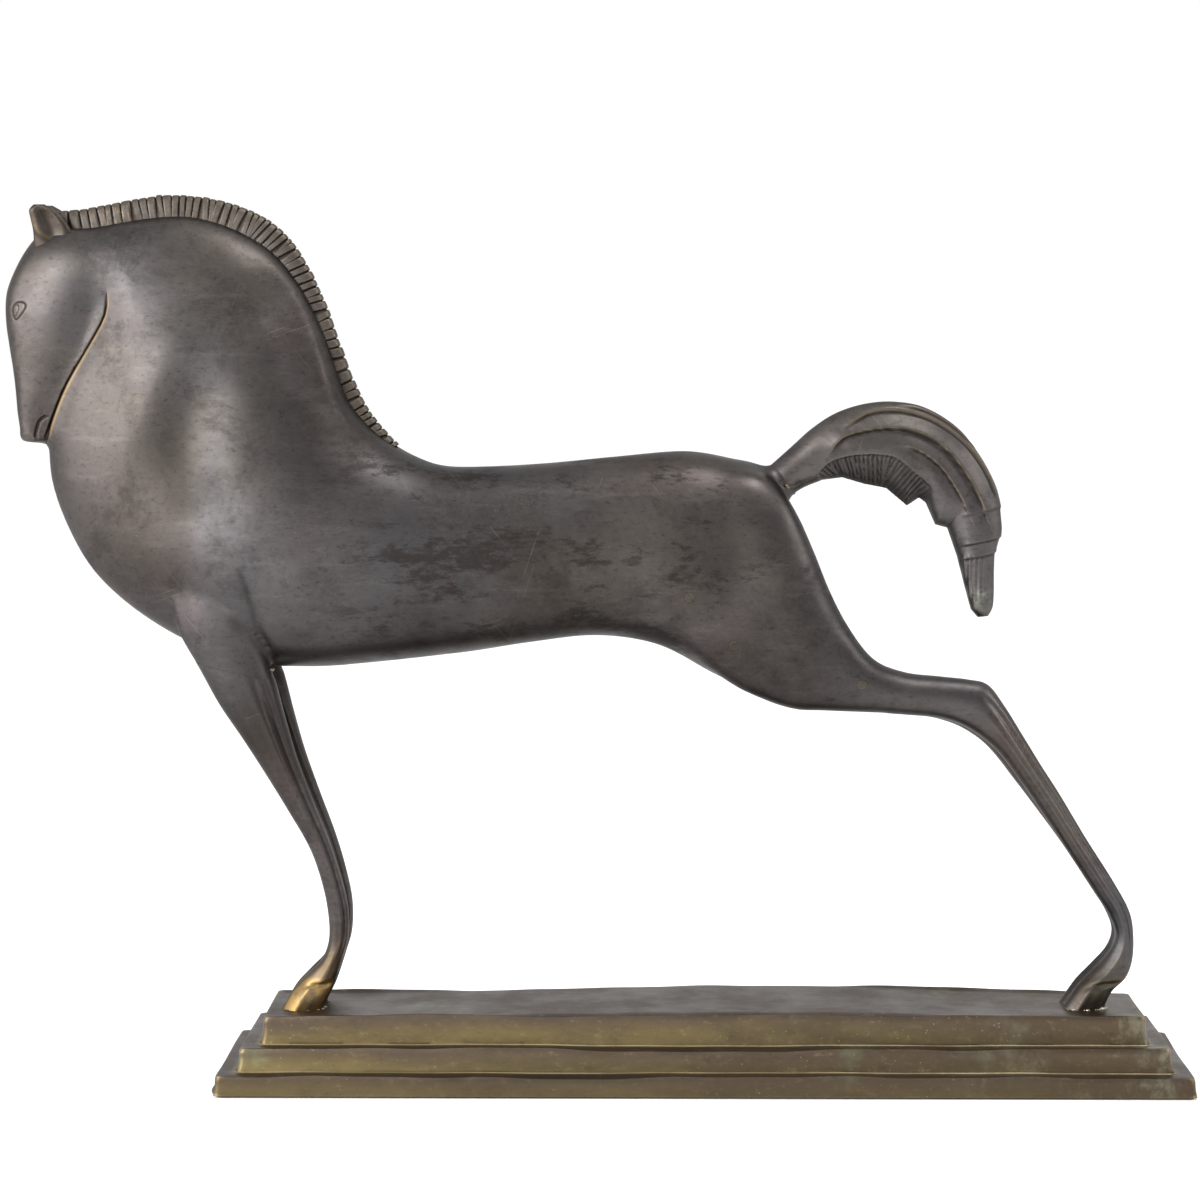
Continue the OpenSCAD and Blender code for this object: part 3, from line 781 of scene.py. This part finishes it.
def mane_cast():
    """Crest of ribs, each a little different in length, height, width and lean."""
    steps, around = 11, 30
    count = MANE_RIBS * steps
    chance = np.random.default_rng(SEED)
    pitch = 1 + .16 * chance.standard_normal(MANE_RIBS)
    edges = np.concatenate([[0], np.cumsum(pitch)]) / pitch.sum()
    tall, wide, lean = [spread * chance.standard_normal(MANE_RIBS) for spread in (.25, .12, .10)]
    outer, inner = refined(MANE_OUTER, 24), refined(MANE_INNER, 24)
    last = len(outer) - 1
    turn = math.pi * (np.arange(around) / (around - 1) - .5)
    lateral = np.sign(np.sin(turn)) * np.abs(np.sin(turn)) ** .55
    height = np.abs(np.cos(turn)) ** .55
    sections = []
    for k in range(count + 1):
        rib = min(k // steps, MANE_RIBS - 1)
        step = (k - rib * steps) / steps
        full = 1 - math.exp(-(min(step, 1 - step) * 2 / .16) ** 2)
        body = full * (.9 + .1 * math.sin(math.pi * step))
        at = (edges[rib] + (edges[rib + 1] - edges[rib]) * step) * last
        low = int(min(at, last - 1))
        t = at - low
        crest = outer[low] * (1 - t) + outer[low + 1] * t
        run = outer[min(low + 6, last)] - outer[max(low - 6, 0)]
        inward = np.array([-run[1], run[0]]) / np.linalg.norm(run)
        root = nearest_on(inner, crest + 12 * (inward + lean[rib] * run / np.linalg.norm(run)))
        size = np.linalg.norm(crest - root)
        out = (crest - root) / size
        top = size + tall[rib] * .6 - 1.1 * (1 - body)
        rise = height * top - .6 * (1 - height)
        depth = 1.0 * (1 - full) * smoothstep(.05, .5, height)
        waist = np.where(height < .5, 1 - .08 * full * (1 - height / .5), 1)
        half = (MANE_HALF + wide[rib] - depth) * waist
        sections.append(np.stack([root[0] + out[0] * rise, lateral * half, root[1] + out[1] * rise], 1))
    mane = tube("mane_crest", np.array(sections))
    points = points_of(mane.data)
    notches = np.tile((np.arange(count + 1) % steps)[:, None], (1, around)).ravel() / steps
    crumbs = np.random.default_rng(SEED + 5).uniform(size=len(points)) > .88
    rubbed = spot(points, -267, 400, 9) * (points[:, 1] < 2) * crumbs
    # Painted shade in the gaps between the ribs, and rubbed brass specks near the forelock.
    store(mane.data, grime=bell(np.minimum(notches, 1 - notches), .085) * .8, brass=.05 + .6 * rubbed)
    return finish_cast(mane, 2)


def ear_leaf(name, side):
    """Leaf-shaped ear, hollowed on its outer side."""
    rows = np.array(EAR, float)
    rows[:, 4] *= side

    def cup(along, c, s):
        outward = smoothstep(0, .3, s * side)
        return 1 - outward * .75 * bump(c, -.05, .5) * smoothstep(.05, .4, along) * smoothstep(1.0, .7, along)

    ear = tube(name, rings(refined(rows, 10), 56, cup))
    points = points_of(ear.data)
    rim = line_field(points[:, [0, 2]], EAR_RIM)[0]
    # Painted shade over the whole ear and in the cup inside its rim, with lighter brass along the rim.
    store(ear.data, brass=.05 + .3 * bell(rim, .8), dusk=np.full(len(points), .45),
          grime=.5 * bell(rim + 1.5, 1.2))
    return finish_cast(ear, 4)


# ---------------------------------------------------------------- plinth, felt and braze

LEVELS = [FELT, 10, 20.5, TOP]
INSET, PLINTH_WALL = 10, 4
CROWN_X, CROWN_REACH = 35, (215.0, 150.0)  # where the top is highest, and how far it falls to each side
ON_FRONT, ON_END, ON_CORNER = 212, 44, 6  # points of a loop on a long side, a short side and a corner

def rounded_loop(half_x, half_y, radius):
    """Points round a rectangle, front edge first, and the same count on every loop."""
    radius = min(radius, half_y * .98)
    xs = np.linspace(-half_x + radius, half_x - radius, ON_FRONT)
    ys = np.linspace(-half_y + radius, half_y - radius, ON_END)
    turn = np.linspace(0, math.pi / 2, ON_CORNER + 2)[1:-1]
    arc = np.stack([np.sin(turn), 1 - np.cos(turn)], 1) * radius
    half = np.concatenate([np.stack([xs, np.full(ON_FRONT, -half_y)], 1),
                           np.stack([half_x - radius + arc[:, 0], -half_y + arc[:, 1]], 1),
                           np.stack([np.full(ON_END, half_x), ys], 1),
                           np.stack([half_x - arc[:, 1], half_y - radius + arc[:, 0]], 1)])
    return np.concatenate([half, -half])


def waves(x, seed, size):
    """Slow uneven run of a hand-filed edge."""
    chance = np.random.default_rng(seed)
    total = 0
    for length in (310, 150, 78, 41):
        total = total + chance.uniform(.4, 1) * (length / 310) ** .6 * np.sin(
            2 * math.pi * (x / length + chance.uniform()))
    return total * size


def plinth_loops():
    """Loops over the whole casting, from the ceiling inside, round the foot, up the steps and over the top.

    Each point's tier says where it is for the patina: under 1 on a riser, more on a tread, most on the top.
    """
    length, width = PLINTH_LENGTH / 2, PLINTH_WIDTH / 2
    loops, tiers = [], []

    def add(inward, z, radius=2.0, wave=0.0, seed=0, tier=0.0, crown=0.0):
        loop = rounded_loop(length - inward, width - inward, radius)
        x, y = loop[:, 0], loop[:, 1]
        height = np.full(len(loop), float(z))
        if wave:
            height = height + waves(x + y * .6, seed + (y > 0) * 50, wave)
            loop = loop + np.sign(loop) * waves(x - y, seed + 9, wave * .5)[:, None] * [0, 1]
        if crown:
            reach = np.where(x < CROWN_X, *CROWN_REACH)
            arch = .5 + .5 * np.cos(math.pi * np.clip((x - CROWN_X) / reach, -1, 1))
            height = height + crown * arch * (2.75 + .95 * y / 30)
        loops.append(np.column_stack([loop, height]))
        tiers.append(np.full(len(loop), tier))

    add(width - .6, TOP - PLINTH_WALL, .3)
    for step, ceiling in ((2, TOP), (2, LEVELS[2]), (1, LEVELS[2]), (1, LEVELS[1]), (0, LEVELS[1])):
        add(step * INSET + PLINTH_WALL, ceiling - PLINTH_WALL)
    add(PLINTH_WALL, FELT)
    add(.5, FELT)
    for step in range(3):
        edge, foot, top = step * INSET, LEVELS[step], LEVELS[step + 1]
        lean = 1.3 if step else .8
        seed = step * 10 + 3
        if step:
            for angle in (0, math.pi * .5, math.pi):
                add(edge - lean - .7 + .35 * (1 - math.cos(angle)), foot + .45 * math.sin(angle), 2.5, .25,
                    seed - 10, .12)
        for t in np.arange(10) / 9:
            back = lean * (1 - t) ** 2.2
            lip = .15 * bump(t, .86, .1)
            add(edge - back - lip * (step > 0) + (.25 if t == 1 else 0),
                foot + .25 * (step > 0) + (top - foot - .8) * t,
                2.4, .8 * t, seed, .15 + .8 * t, t * (step == 2))
        add(edge + .35, top - .25, 2.4, .8, seed, 1.1, float(step == 2))
        add(edge + 1.1, top, 2.2, .8, seed, 1.25, float(step == 2))
        if step < 2:
            for u in (.35, .7):
                add(edge + 1.1 + (INSET - 4) * u, top - .25 * u, 2.2, .8 * (1 - u), seed, 1.35)
    for inward in np.linspace(2 * INSET + 3.5, width - .6, 13):
        add(inward, TOP, max(.3, 2.2 - (inward - 20) * .1), 0, 0, 1.5, 1)
    return np.array(loops), np.concatenate(tiers)


def plinth_cast():
    """Stepped base, with its first and last loop closed by strips from front to back."""
    loops, tiers = plinth_loops()
    count, around = loops.shape[:2]
    faces = grid_faces(count, around)
    half = around // 2
    for first in (0, (count - 1) * around):
        front = [first + k for k in range(ON_FRONT)]
        back = [first + half + k for k in reversed(range(ON_FRONT))]
        faces += [(front[k], front[k + 1], back[k + 1], back[k]) for k in range(ON_FRONT - 1)]
        faces.append(tuple([front[-1]] + [first + k for k in range(ON_FRONT, half)] + [back[-1]]))
        faces.append(tuple([back[0]] + [first + half + k for k in range(ON_FRONT, half)] + [front[0]]))
    plinth = make("plinth_cast", loops.reshape(-1, 3), faces)
    store(plinth.data, tier=tiers)
    return finish_cast(plinth, 2)


def felt_pad():
    """Felt slab, thicker where it has curled at one corner."""
    loops = []
    half_x, half_y = PLINTH_LENGTH / 2 - .6, PLINTH_WIDTH / 2 - .6
    for inward, z in ((half_y - 1, 0), (.6, 0), (0, .25), (0, .8), (.5, FELT), (half_y - 1, FELT)):
        loop = rounded_loop(half_x - inward, half_y - inward, min(2.0, half_y - inward))
        ragged = waves(loop[:, 0] * 3 + loop[:, 1] * 2, 31, .12) * (0 < z < FELT)
        loops.append(np.column_stack([loop * (1 + ragged / 200)[:, None], np.full(len(loop), z)]))
    slab = tube("felt_pad", np.array(loops))
    lump = blob("lump", [-PLINTH_LENGTH / 2 + .6, -PLINTH_WIDTH / 2 + 3.0, 2.9], [2.1, 2.6, 2.7], 5, .16)
    return shade(joined("felt_pad_under", [slab, lump]), 60)


def blob(name, centre, size, seed, rough=.12):
    """Uneven bead of metal that has run and set."""
    chance = np.random.default_rng(seed)
    layers, around = 14, 24
    a, b = np.meshgrid(math.pi * (np.arange(layers) + .5) / layers, 2 * math.pi * np.arange(around) / around,
                       indexing="ij")
    out = np.ones_like(a)
    for _ in range(5):
        k, m, p = chance.integers(1, 4), chance.integers(1, 4), chance.uniform(0, 6.28, 2)
        out = out + rough * .5 * np.sin(k * b + p[0]) * np.sin(m * a + p[1]) * np.sin(a)
    points = np.stack([np.sin(a) * np.cos(b), np.sin(a) * np.sin(b), np.cos(a)], -1)
    return tube(name, points * out[..., None] * np.array(size) + np.array(centre))


def braze(name, beads):
    """Beads of braze melted together."""
    parts = [blob("bead", centre, size, SEED + 13 * k) for k, (centre, size) in enumerate(beads)]
    whole = remeshed(joined(name, parts), .35)
    points = points_of(whole.data)
    place(whole.data, relax(points, edges_of(whole.data), .5, 5))
    return finish_cast(whole, 3)


def hoof_beads(x, y, length, width, height, count, seed):
    """Crumbs of braze left round the sole of a hoof, most of them behind and on the outer side."""
    chance = np.random.default_rng(seed)
    outward = math.copysign(1, y)
    beads = []
    for angle in np.linspace(-.3 * math.pi, .8 * math.pi, count) + chance.uniform(-.2, .2, count):
        grow = chance.uniform(.35, 1.15)
        beads.append(([x + length * math.cos(angle), y + outward * width * math.sin(angle), TOP],
                      [1.7 * grow, 1.2 * grow, height * grow]))
    return beads


# ---------------------------------------------------------------- materials

class Shader:
    """Small helper that wires a procedural material and lays its colours over each other."""

    def __init__(self, name, colour):
        self.material = bpy.data.materials.new(name)
        self.material.use_nodes = True
        self.tree = self.material.node_tree
        self.surface = self.tree.nodes["Principled BSDF"]
        self.where = self.node("ShaderNodeTexCoord").outputs["Object"]
        self.colour = colour

    def node(self, kind, settings=None, **inputs):
        node = self.tree.nodes.new(kind)
        for name, value in (settings or {}).items():
            setattr(node, name, value)
        for name, value in inputs.items():
            key = int(name[1:]) if name[0] == "_" else name.replace("_", " ")
            self.feed(node.inputs[key], value)
        return node

    def feed(self, socket, value):
        if isinstance(value, bpy.types.NodeSocket):
            self.tree.links.new(value, socket)
        else:
            socket.default_value = value

    def noise(self, scale, detail=4.0, rough=.55, stretch=None, warp=0.0, turn=0.0):
        where = self.where
        if turn:
            where = self.node("ShaderNodeMapping", Vector=where, Rotation=(0, turn, 0)).outputs[0]
        if stretch:
            where = self.node("ShaderNodeMapping", Vector=where, Scale=stretch).outputs[0]
        return self.node("ShaderNodeTexNoise", Vector=where, Scale=scale, Detail=detail, Roughness=rough,
                         Distortion=warp).outputs["Fac"]

    def span(self, value, low, high, to_low=0.0, to_high=1.0):
        return self.node("ShaderNodeMapRange", {"interpolation_type": "SMOOTHSTEP"}, Value=value,
                         From_Min=low, From_Max=high, To_Min=to_low, To_Max=to_high).outputs[0]

    def patch(self, low, high, *noise, to=(0.0, 1.0), **more):
        """Soft-edged patches, where a noise rises from low to high."""
        return self.span(self.noise(*noise, **more), low, high, *to)

    def specks(self, size, high, low):
        """Fine dots."""
        cells = self.node("ShaderNodeTexVoronoi", Vector=self.where, Scale=size).outputs["Distance"]
        return self.span(cells, high, low)

    def place(self, axis, low, high, *to):
        at = self.node("ShaderNodeSeparateXYZ", Vector=self.where).outputs[axis]
        return self.span(at, low * MM, high * MM, *to)

    def math(self, operation, a, b):
        return self.node("ShaderNodeMath", {"operation": operation}, _0=a, _1=b).outputs[0]

    def times(self, first, *others):
        for other in others:
            first = self.math("MULTIPLY", first, other)
        return first

    def lay(self, share, colour):
        """Lays a colour over the colours so far."""
        self.colour = self.node("ShaderNodeMix", {"data_type": "RGBA"}, _0=share, _6=self.colour,
                                _7=colour).outputs[2]

    def coat(self, share, *display):
        self.lay(share, rgb(*display))

    def value(self, name):
        return self.node("ShaderNodeAttribute", {"attribute_name": name}).outputs["Fac"]

    def bump(self, height, distance, strength=1.0, under=None):
        node = self.node("ShaderNodeBump", Height=height, Distance=distance, Strength=strength)
        if under:
            self.tree.links.new(under, node.inputs["Normal"])
        return node.outputs[0]

    def finish(self, roughness, metallic, normal=None, **fixed):
        for name, value in (("Base Color", self.colour), ("Roughness", roughness), ("Metallic", metallic)):
            self.feed(self.surface.inputs[name], value)
        if normal:
            self.tree.links.new(normal, self.surface.inputs["Normal"])
        for name, number in fixed.items():
            self.surface.inputs[name.replace("_", " ")].default_value = number
        return self.material


def rgb(r, g, b):
    """Colour given in display values, 0 to 255."""
    def linear(v):
        v /= 255
        return v / 12.92 if v <= .04045 else ((v + .055) / 1.055) ** 2.4
    return (linear(r), linear(g), linear(b), 1)


def patina(name, brass_share, plum=1.0, streaks=1.0, gloss=.4, warm=0.0, painted_lightening=0.0):
    """Dark lacquered bronze: clouded brown, plum and slate, brushed patches, scratches and specks, with worn
    brass, painted highlight, painted shade and, for some parts, painted light laid over them.
    """
    s = Shader(name, rgb(80, 75, 71))
    s.coat(s.patch(.38, .62, 11, 7, .65, warp=.4), 74, 69, 68)
    s.coat(s.patch(.44, .68, 6.5, 4, .6, stretch=(1.2, 1, .8)), 74, 73, 75)
    s.coat(s.times(s.patch(.5, .7, 17, 6, .68), .55 * plum), 70, 60, 59)
    s.coat(s.times(s.patch(.55, .75, 8, 4, .6), .6), 68, 65, 52)
    if warm:
        s.coat(warm, 86, 79, 62)
    # Painted light: the whole part made lighter.
    if painted_lightening:
        s.coat(painted_lightening, 118, 115, 114)
    barrel = s.times(s.place("X", -200, -130), s.place("X", 110, 50))
    brushed = s.times(s.patch(.49, .57, 15, 12, .78, stretch=(1, 1.5, 2.6)), .8 * streaks, barrel)
    patch = s.math("MAXIMUM", brushed, s.times(s.patch(.5, .64, 26, 12, .78, warp=.3), .45))
    s.coat(patch, 44, 40, 38)
    grain = s.noise(330, 6, .75, stretch=(1, 1, 1.6))
    s.coat(s.span(grain, .53, .68, 0, .5), 42, 39, 37)
    s.coat(s.span(grain, .46, .3, 0, .2), 104, 100, 98)
    s.coat(s.times(s.patch(.5, .75, 60, 6, .7, stretch=(.5, 1, 3)), .35), 100, 96, 93)
    scratches = 0.0
    for turn, scale in ((.35, 14), (-.9, 19), (1.25, 16)):
        line = s.patch(.67, .71, scale, 2, .5, stretch=(1, 1, 45), turn=turn)
        scratches = s.math("MAXIMUM", line, scratches)
    scratches = s.times(scratches, s.patch(.52, .64, 17, 3, .6))
    s.coat(s.times(scratches, .16), 112, 106, 102)
    s.coat(s.times(s.specks(420, .16, .07), s.patch(.56, .68, 16, 3, .6), .3), 140, 134, 122)
    edge = s.value("edge")
    s.coat(s.times(s.span(edge, .02, .16), .3), 104, 94, 80)
    # Worn brass on hooves, mane and ear rims, and painted highlight behind the jaw slit, on the hooves' side
    # faces and along the tail locks.
    s.coat(s.times(s.value("brass"), brass_share, s.patch(.2, .5, 90, 4, .6)), 158, 130, 82)
    s.coat(s.times(s.value("pale"), s.patch(.42, .6, 150, 5, .7)), 128, 134, 120)
    # Soft patches of painted shade on the lower and hollow parts.
    s.coat(s.times(s.value("dusk"), s.patch(.32, .6, 22, 10, .75, to=(.5, 1.0))), 38, 33, 30)
    # Painted shade in the cut lines, gaps and concave hollows.
    groove_and_hollow_shade = s.math("MAXIMUM", s.times(s.span(edge, -.02, -.14), .6), s.value("grime"))
    s.coat(s.times(groove_and_hollow_shade, .85), 30, 26, 24)
    rough = s.patch(.3, .7, 26, 5, .6, to=(gloss - .04, gloss + .1))
    rough = s.math("ADD", rough, s.times(patch, .12))
    rough = s.math("ADD", rough, s.times(groove_and_hollow_shade, .25))
    normal = s.bump(s.noise(240, 5, .6), .00006)
    normal = s.bump(s.noise(38, 3, .5), .0006, .35, normal)
    normal = s.bump(s.times(scratches, -1.0), .00008, .6, normal)
    return s.finish(rough, 1.0, normal, Specular_Tint=(.75, .75, .75, 1))


def olive_brass(name):
    """Brass casting under worn brown lacquer: golden towards the foot of each step, with a painted highlight
    along the bead there, dark on the treads, and painted shade in the hollows.
    """
    s = Shader(name, rgb(106, 93, 62))
    tier = s.value("tier")
    worn = s.noise(15, 9, .7, stretch=(.4, 1, 1.6))
    s.coat(s.span(worn, .35, .65), 84, 73, 53)
    high = s.math("ADD", tier, s.times(s.math("SUBTRACT", worn, .5), 1.2))
    s.coat(s.span(high, .25, .95), 82, 71, 60)
    s.coat(s.span(tier, 1.05, 1.2), 62, 51, 43)
    # Painted highlight along the bead at the foot of each riser.
    bead = s.times(s.span(tier, .14, .11), s.patch(.3, .6, 40, 4, .6, stretch=(.5, 1, 1)))
    s.coat(s.times(bead, .8), 150, 136, 104)
    s.coat(s.times(s.patch(.5, .64, 11, 9, .72, stretch=(.7, 1, 1)), .6), 78, 66, 50)
    s.coat(s.times(s.patch(.62, .74, 21, 4, .6), .35), 120, 128, 100)
    grain = s.noise(300, 6, .75, stretch=(.6, 1, 1))
    s.coat(s.span(grain, .54, .72, 0, .4), 54, 46, 36)
    s.coat(s.span(grain, .46, .3, 0, .3), 140, 126, 96)
    s.coat(s.place("Z", 11, 8, 0, .4), 64, 54, 42)
    smear = s.times(s.place("X", 100, 190), s.patch(.5, .64, 34, 7, .7, stretch=(1, 1, .6), to=(0, .5)))
    s.coat(smear, 132, 130, 112)
    s.coat(s.times(s.specks(300, .14, .06), s.patch(.5, .7, 12, 3, .5), .4), 170, 158, 124)
    edge = s.value("edge")
    s.coat(s.times(s.span(edge, .03, .2), .3), 160, 142, 104)
    # Painted shade in the hollows, where the surface is concave.
    s.coat(s.times(s.span(edge, -.03, -.2), .8), 52, 42, 30)
    normal = s.bump(s.noise(200, 5, .6, stretch=(.3, 1, 1)), .0001)
    normal = s.bump(s.noise(26, 3, .5), .0008, .4, normal)
    return s.finish(s.patch(.3, .7, 30, 5, .6, to=(.36, .52)), .85, normal, Specular_IOR_Level=.5)


def braze_metal(name, *tone):
    s = Shader(name, rgb(*tone))
    s.coat(s.patch(.35, .65, 160, 4, .6), 88, 82, 70)
    # Painted shade in the hollows between the beads.
    s.coat(s.span(s.value("edge"), -.02, -.14), 40, 36, 30)
    return s.finish(s.patch(.3, .7, 120, to=(.28, .5)), .9, s.bump(s.noise(420, 4, .6), .0002))


def felt_cloth(name):
    s = Shader(name, rgb(24, 23, 22))
    fibres = s.noise(900, 4, .7)
    s.coat(s.span(fibres, .3, .7), 52, 49, 46)
    return s.finish(.95, 0.0, s.bump(fibres, .0003), Sheen_Weight=.3)


def dress(obj, material, node):
    """Gives a piece its material, hangs it under the root body and hides the CAD node that it stands for."""
    obj.data.materials.clear()
    obj.data.materials.append(material)
    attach(obj, "root")
    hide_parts(node)


# ---------------------------------------------------------------- assembly

dark_bronze = patina("dark_bronze_patina", .85)
# The mane and tail patinas are made lighter all over with painted light.
mane_bronze = patina("mane_bronze_patina", .8, plum=.2, streaks=.4, gloss=.44, warm=.1, painted_lightening=.12)
tail_bronze = patina("tail_bronze_patina", .5, plum=.3, streaks=.4, painted_lightening=.12)
plug_bronze = patina("plug_bronze_patina", .4, plum=.1, streaks=.0, gloss=.34, warm=.5)
brass = olive_brass("plinth_brass")
warm_braze = braze_metal("warm_braze", 128, 119, 98)
pale_braze = braze_metal("pale_braze", 196, 190, 174)
felt = felt_cloth("felt_cloth")

(half_left, half_right), plugs = body_castings()
for half, side in ((half_left, "left"), (half_right, "right")):
    shade(half)
    dress(half, dark_bronze, "body_shell_" + side)
blank(plugs.data, ("brass", "grime", "edge"))
dress(shade(plugs), plug_bronze, "core_pin_plugs")

elbow, gaskin = elbow_region(), gaskin_region()
for side, word in ((LEFT, "left"), (RIGHT, "right")):
    # The near foreleg's hoof gets more brass and painted highlight than the far one's.
    fore = leg("foreleg_cast_" + word, FORELEG, side, foreleg_shape, elbow, .95 if side == LEFT else .6)
    dress(fore, dark_bronze, "foreleg_" + word)
    hind = leg("hindleg_cast_" + word, HINDLEG, side, hindleg_shape, gaskin, .1)
    dress(hind, dark_bronze, "hindleg_" + word)
    dress(ear_leaf("ear_leaf_" + word, side), dark_bronze, "ear_" + word)
drop(elbow, gaskin)
dress(tail_cast(), tail_bronze, "tail")
dress(mane_cast(), mane_bronze, "mane_comb")
dress(plinth_cast(), brass, "plinth")
dress(felt_pad(), felt, "base_felt")

elbow_beads = [([-197.5, side * 17, 191.5], [2.2, 2.2, 1.2]) for side in (LEFT, RIGHT)]
elbow_beads += [([-195, side * 17, 180.5], [1.3, 2.0, 2.2]) for side in (LEFT, RIGHT)]
dress(braze("braze_elbow", elbow_beads), warm_braze, "elbow_braze")
tail_beads = [([41.6 - abs(y) * .5, y, 270.6 + abs(y) * .55], [1.2, 1.5, 1.0])
              for y in (-6.6, -5.2, -3.6, -1.8, 0, 1.8, 3.6, 5.2, 6.6)]
dress(braze("braze_tail", tail_beads), warm_braze, "tail_braze")
fore_beads, hind_beads = [], []
for side in (LEFT, RIGHT):
    fore_beads += hoof_beads(FORE_FOOT[0], side * FORE_FOOT[1], 9.2, 6.8, .9, 7, SEED)
    hind_beads += hoof_beads(HIND_FOOT[0], side * HIND_FOOT[1], 10.0, 6.6, 1.3, 14, SEED + 1)
dress(braze("braze_fore_hoof", fore_beads), warm_braze, "fore_hoof_braze")
dress(braze("braze_hind_hoof", hind_beads), pale_braze, "hind_hoof_braze")

# ---------------------------------------------------------------- camera, light and floor

CAMERA_AT = (-9, -1557, 355)
YAW, PITCH, ROLL = math.radians(-1.4), math.radians(4.9), math.radians(-.2)
SENSOR, LENS = 36, 102
ROOM = ((.13, 1.0), (.22, .42), (.5, .6), (.9, 1.2))  # height and tone of the camera side of the room
BACKDROP = (-.35, .25)  # from the camera side to the white side behind the horse


def aim_camera():
    """Camera a little above the horse, turned slightly towards its head."""
    data = bpy.data.cameras.new("camera")
    data.sensor_width, data.lens = SENSOR, LENS
    data.clip_start, data.clip_end = .05, 100
    camera = linked("camera", data)
    forward = Vector((math.sin(YAW) * math.cos(PITCH), math.cos(YAW) * math.cos(PITCH), -math.sin(PITCH)))
    level = forward.cross(Vector((0, 0, 1))).normalized()
    upright = level.cross(forward)
    right = level * math.cos(ROLL) + upright * math.sin(ROLL)
    up = upright * math.cos(ROLL) - level * math.sin(ROLL)
    turn = Matrix((right, up, -forward)).transposed().to_4x4()
    camera.matrix_world = Matrix.Translation(Vector(CAMERA_AT) * MM) @ turn
    bpy.context.scene.camera = camera


def softbox(name, at, target, size, power):
    data = bpy.data.lights.new(name, "AREA")
    data.shape = "RECTANGLE"
    data.size, data.size_y = size
    data.energy = power
    lamp = linked(name, data)
    lamp.location = at
    lamp.rotation_euler = (Vector(target) - Vector(at)).to_track_quat("-Z", "Y").to_euler()


def stage():
    """Plain white floor, which shines a little so that it stays even."""
    mesh = bpy.data.meshes.new("floor")
    reach = 12
    mesh.from_pydata([(-reach, -reach, 0), (reach, -reach, 0), (reach, reach, 0), (-reach, reach, 0)], [],
                     [(0, 1, 2, 3)])
    floor = linked("floor", mesh)
    paint = Shader("floor_paint", (.93, .93, .93, 1))
    paint.lay(paint.patch(.3, .7, .7, 2), (.95, .95, .95, 1))
    mesh.materials.append(paint.finish(.9, 0.0, Emission_Color=(1, 1, 1, 1), Emission_Strength=.15))


def surround():
    """White studio: on the camera side it is dimmer between the horizon and the bright ceiling."""
    world = bpy.data.worlds.new("studio")
    bpy.context.scene.world = world
    world.use_nodes = True
    nodes, links = world.node_tree.nodes, world.node_tree.links
    split = nodes.new("ShaderNodeSeparateXYZ")
    links.new(nodes.new("ShaderNodeTexCoord").outputs["Generated"], split.inputs[0])
    room = nodes.new("ShaderNodeValToRGB")
    while len(room.color_ramp.elements) < len(ROOM):
        room.color_ramp.elements.new(.5)
    for stop, (height, tone) in zip(room.color_ramp.elements, ROOM):
        stop.position = height
        stop.color = (tone, tone, tone, 1)
    links.new(split.outputs["Z"], room.inputs[0])
    back = nodes.new("ShaderNodeMapRange")
    links.new(split.outputs["Y"], back.inputs["Value"])
    back.inputs["From Min"].default_value, back.inputs["From Max"].default_value = BACKDROP
    blend = nodes.new("ShaderNodeMix")
    blend.data_type = "RGBA"
    links.new(back.outputs[0], blend.inputs[0])
    links.new(room.outputs[0], blend.inputs[6])
    blend.inputs[7].default_value = (1, 1, 1, 1)
    links.new(blend.outputs[2], nodes["Background"].inputs[0])


aim_camera()
stage()
surround()
softbox("key", (-1.9, -.8, .6), (-.2, 0, .28), (1.2, 1.3), 27)
softbox("cheek", (-1.15, -1.5, .75), (-.3, 0, .32), (.7, .9), 26)
softbox("top", (.4, -.45, 1.5), (.08, 0, .25), (.5, .5), 8)
softbox("fill", (1.9, -.5, 1.0), (.1, 0, .2), (.7, 1.0), 13)
bpy.context.scene.view_settings.view_transform = "Standard"
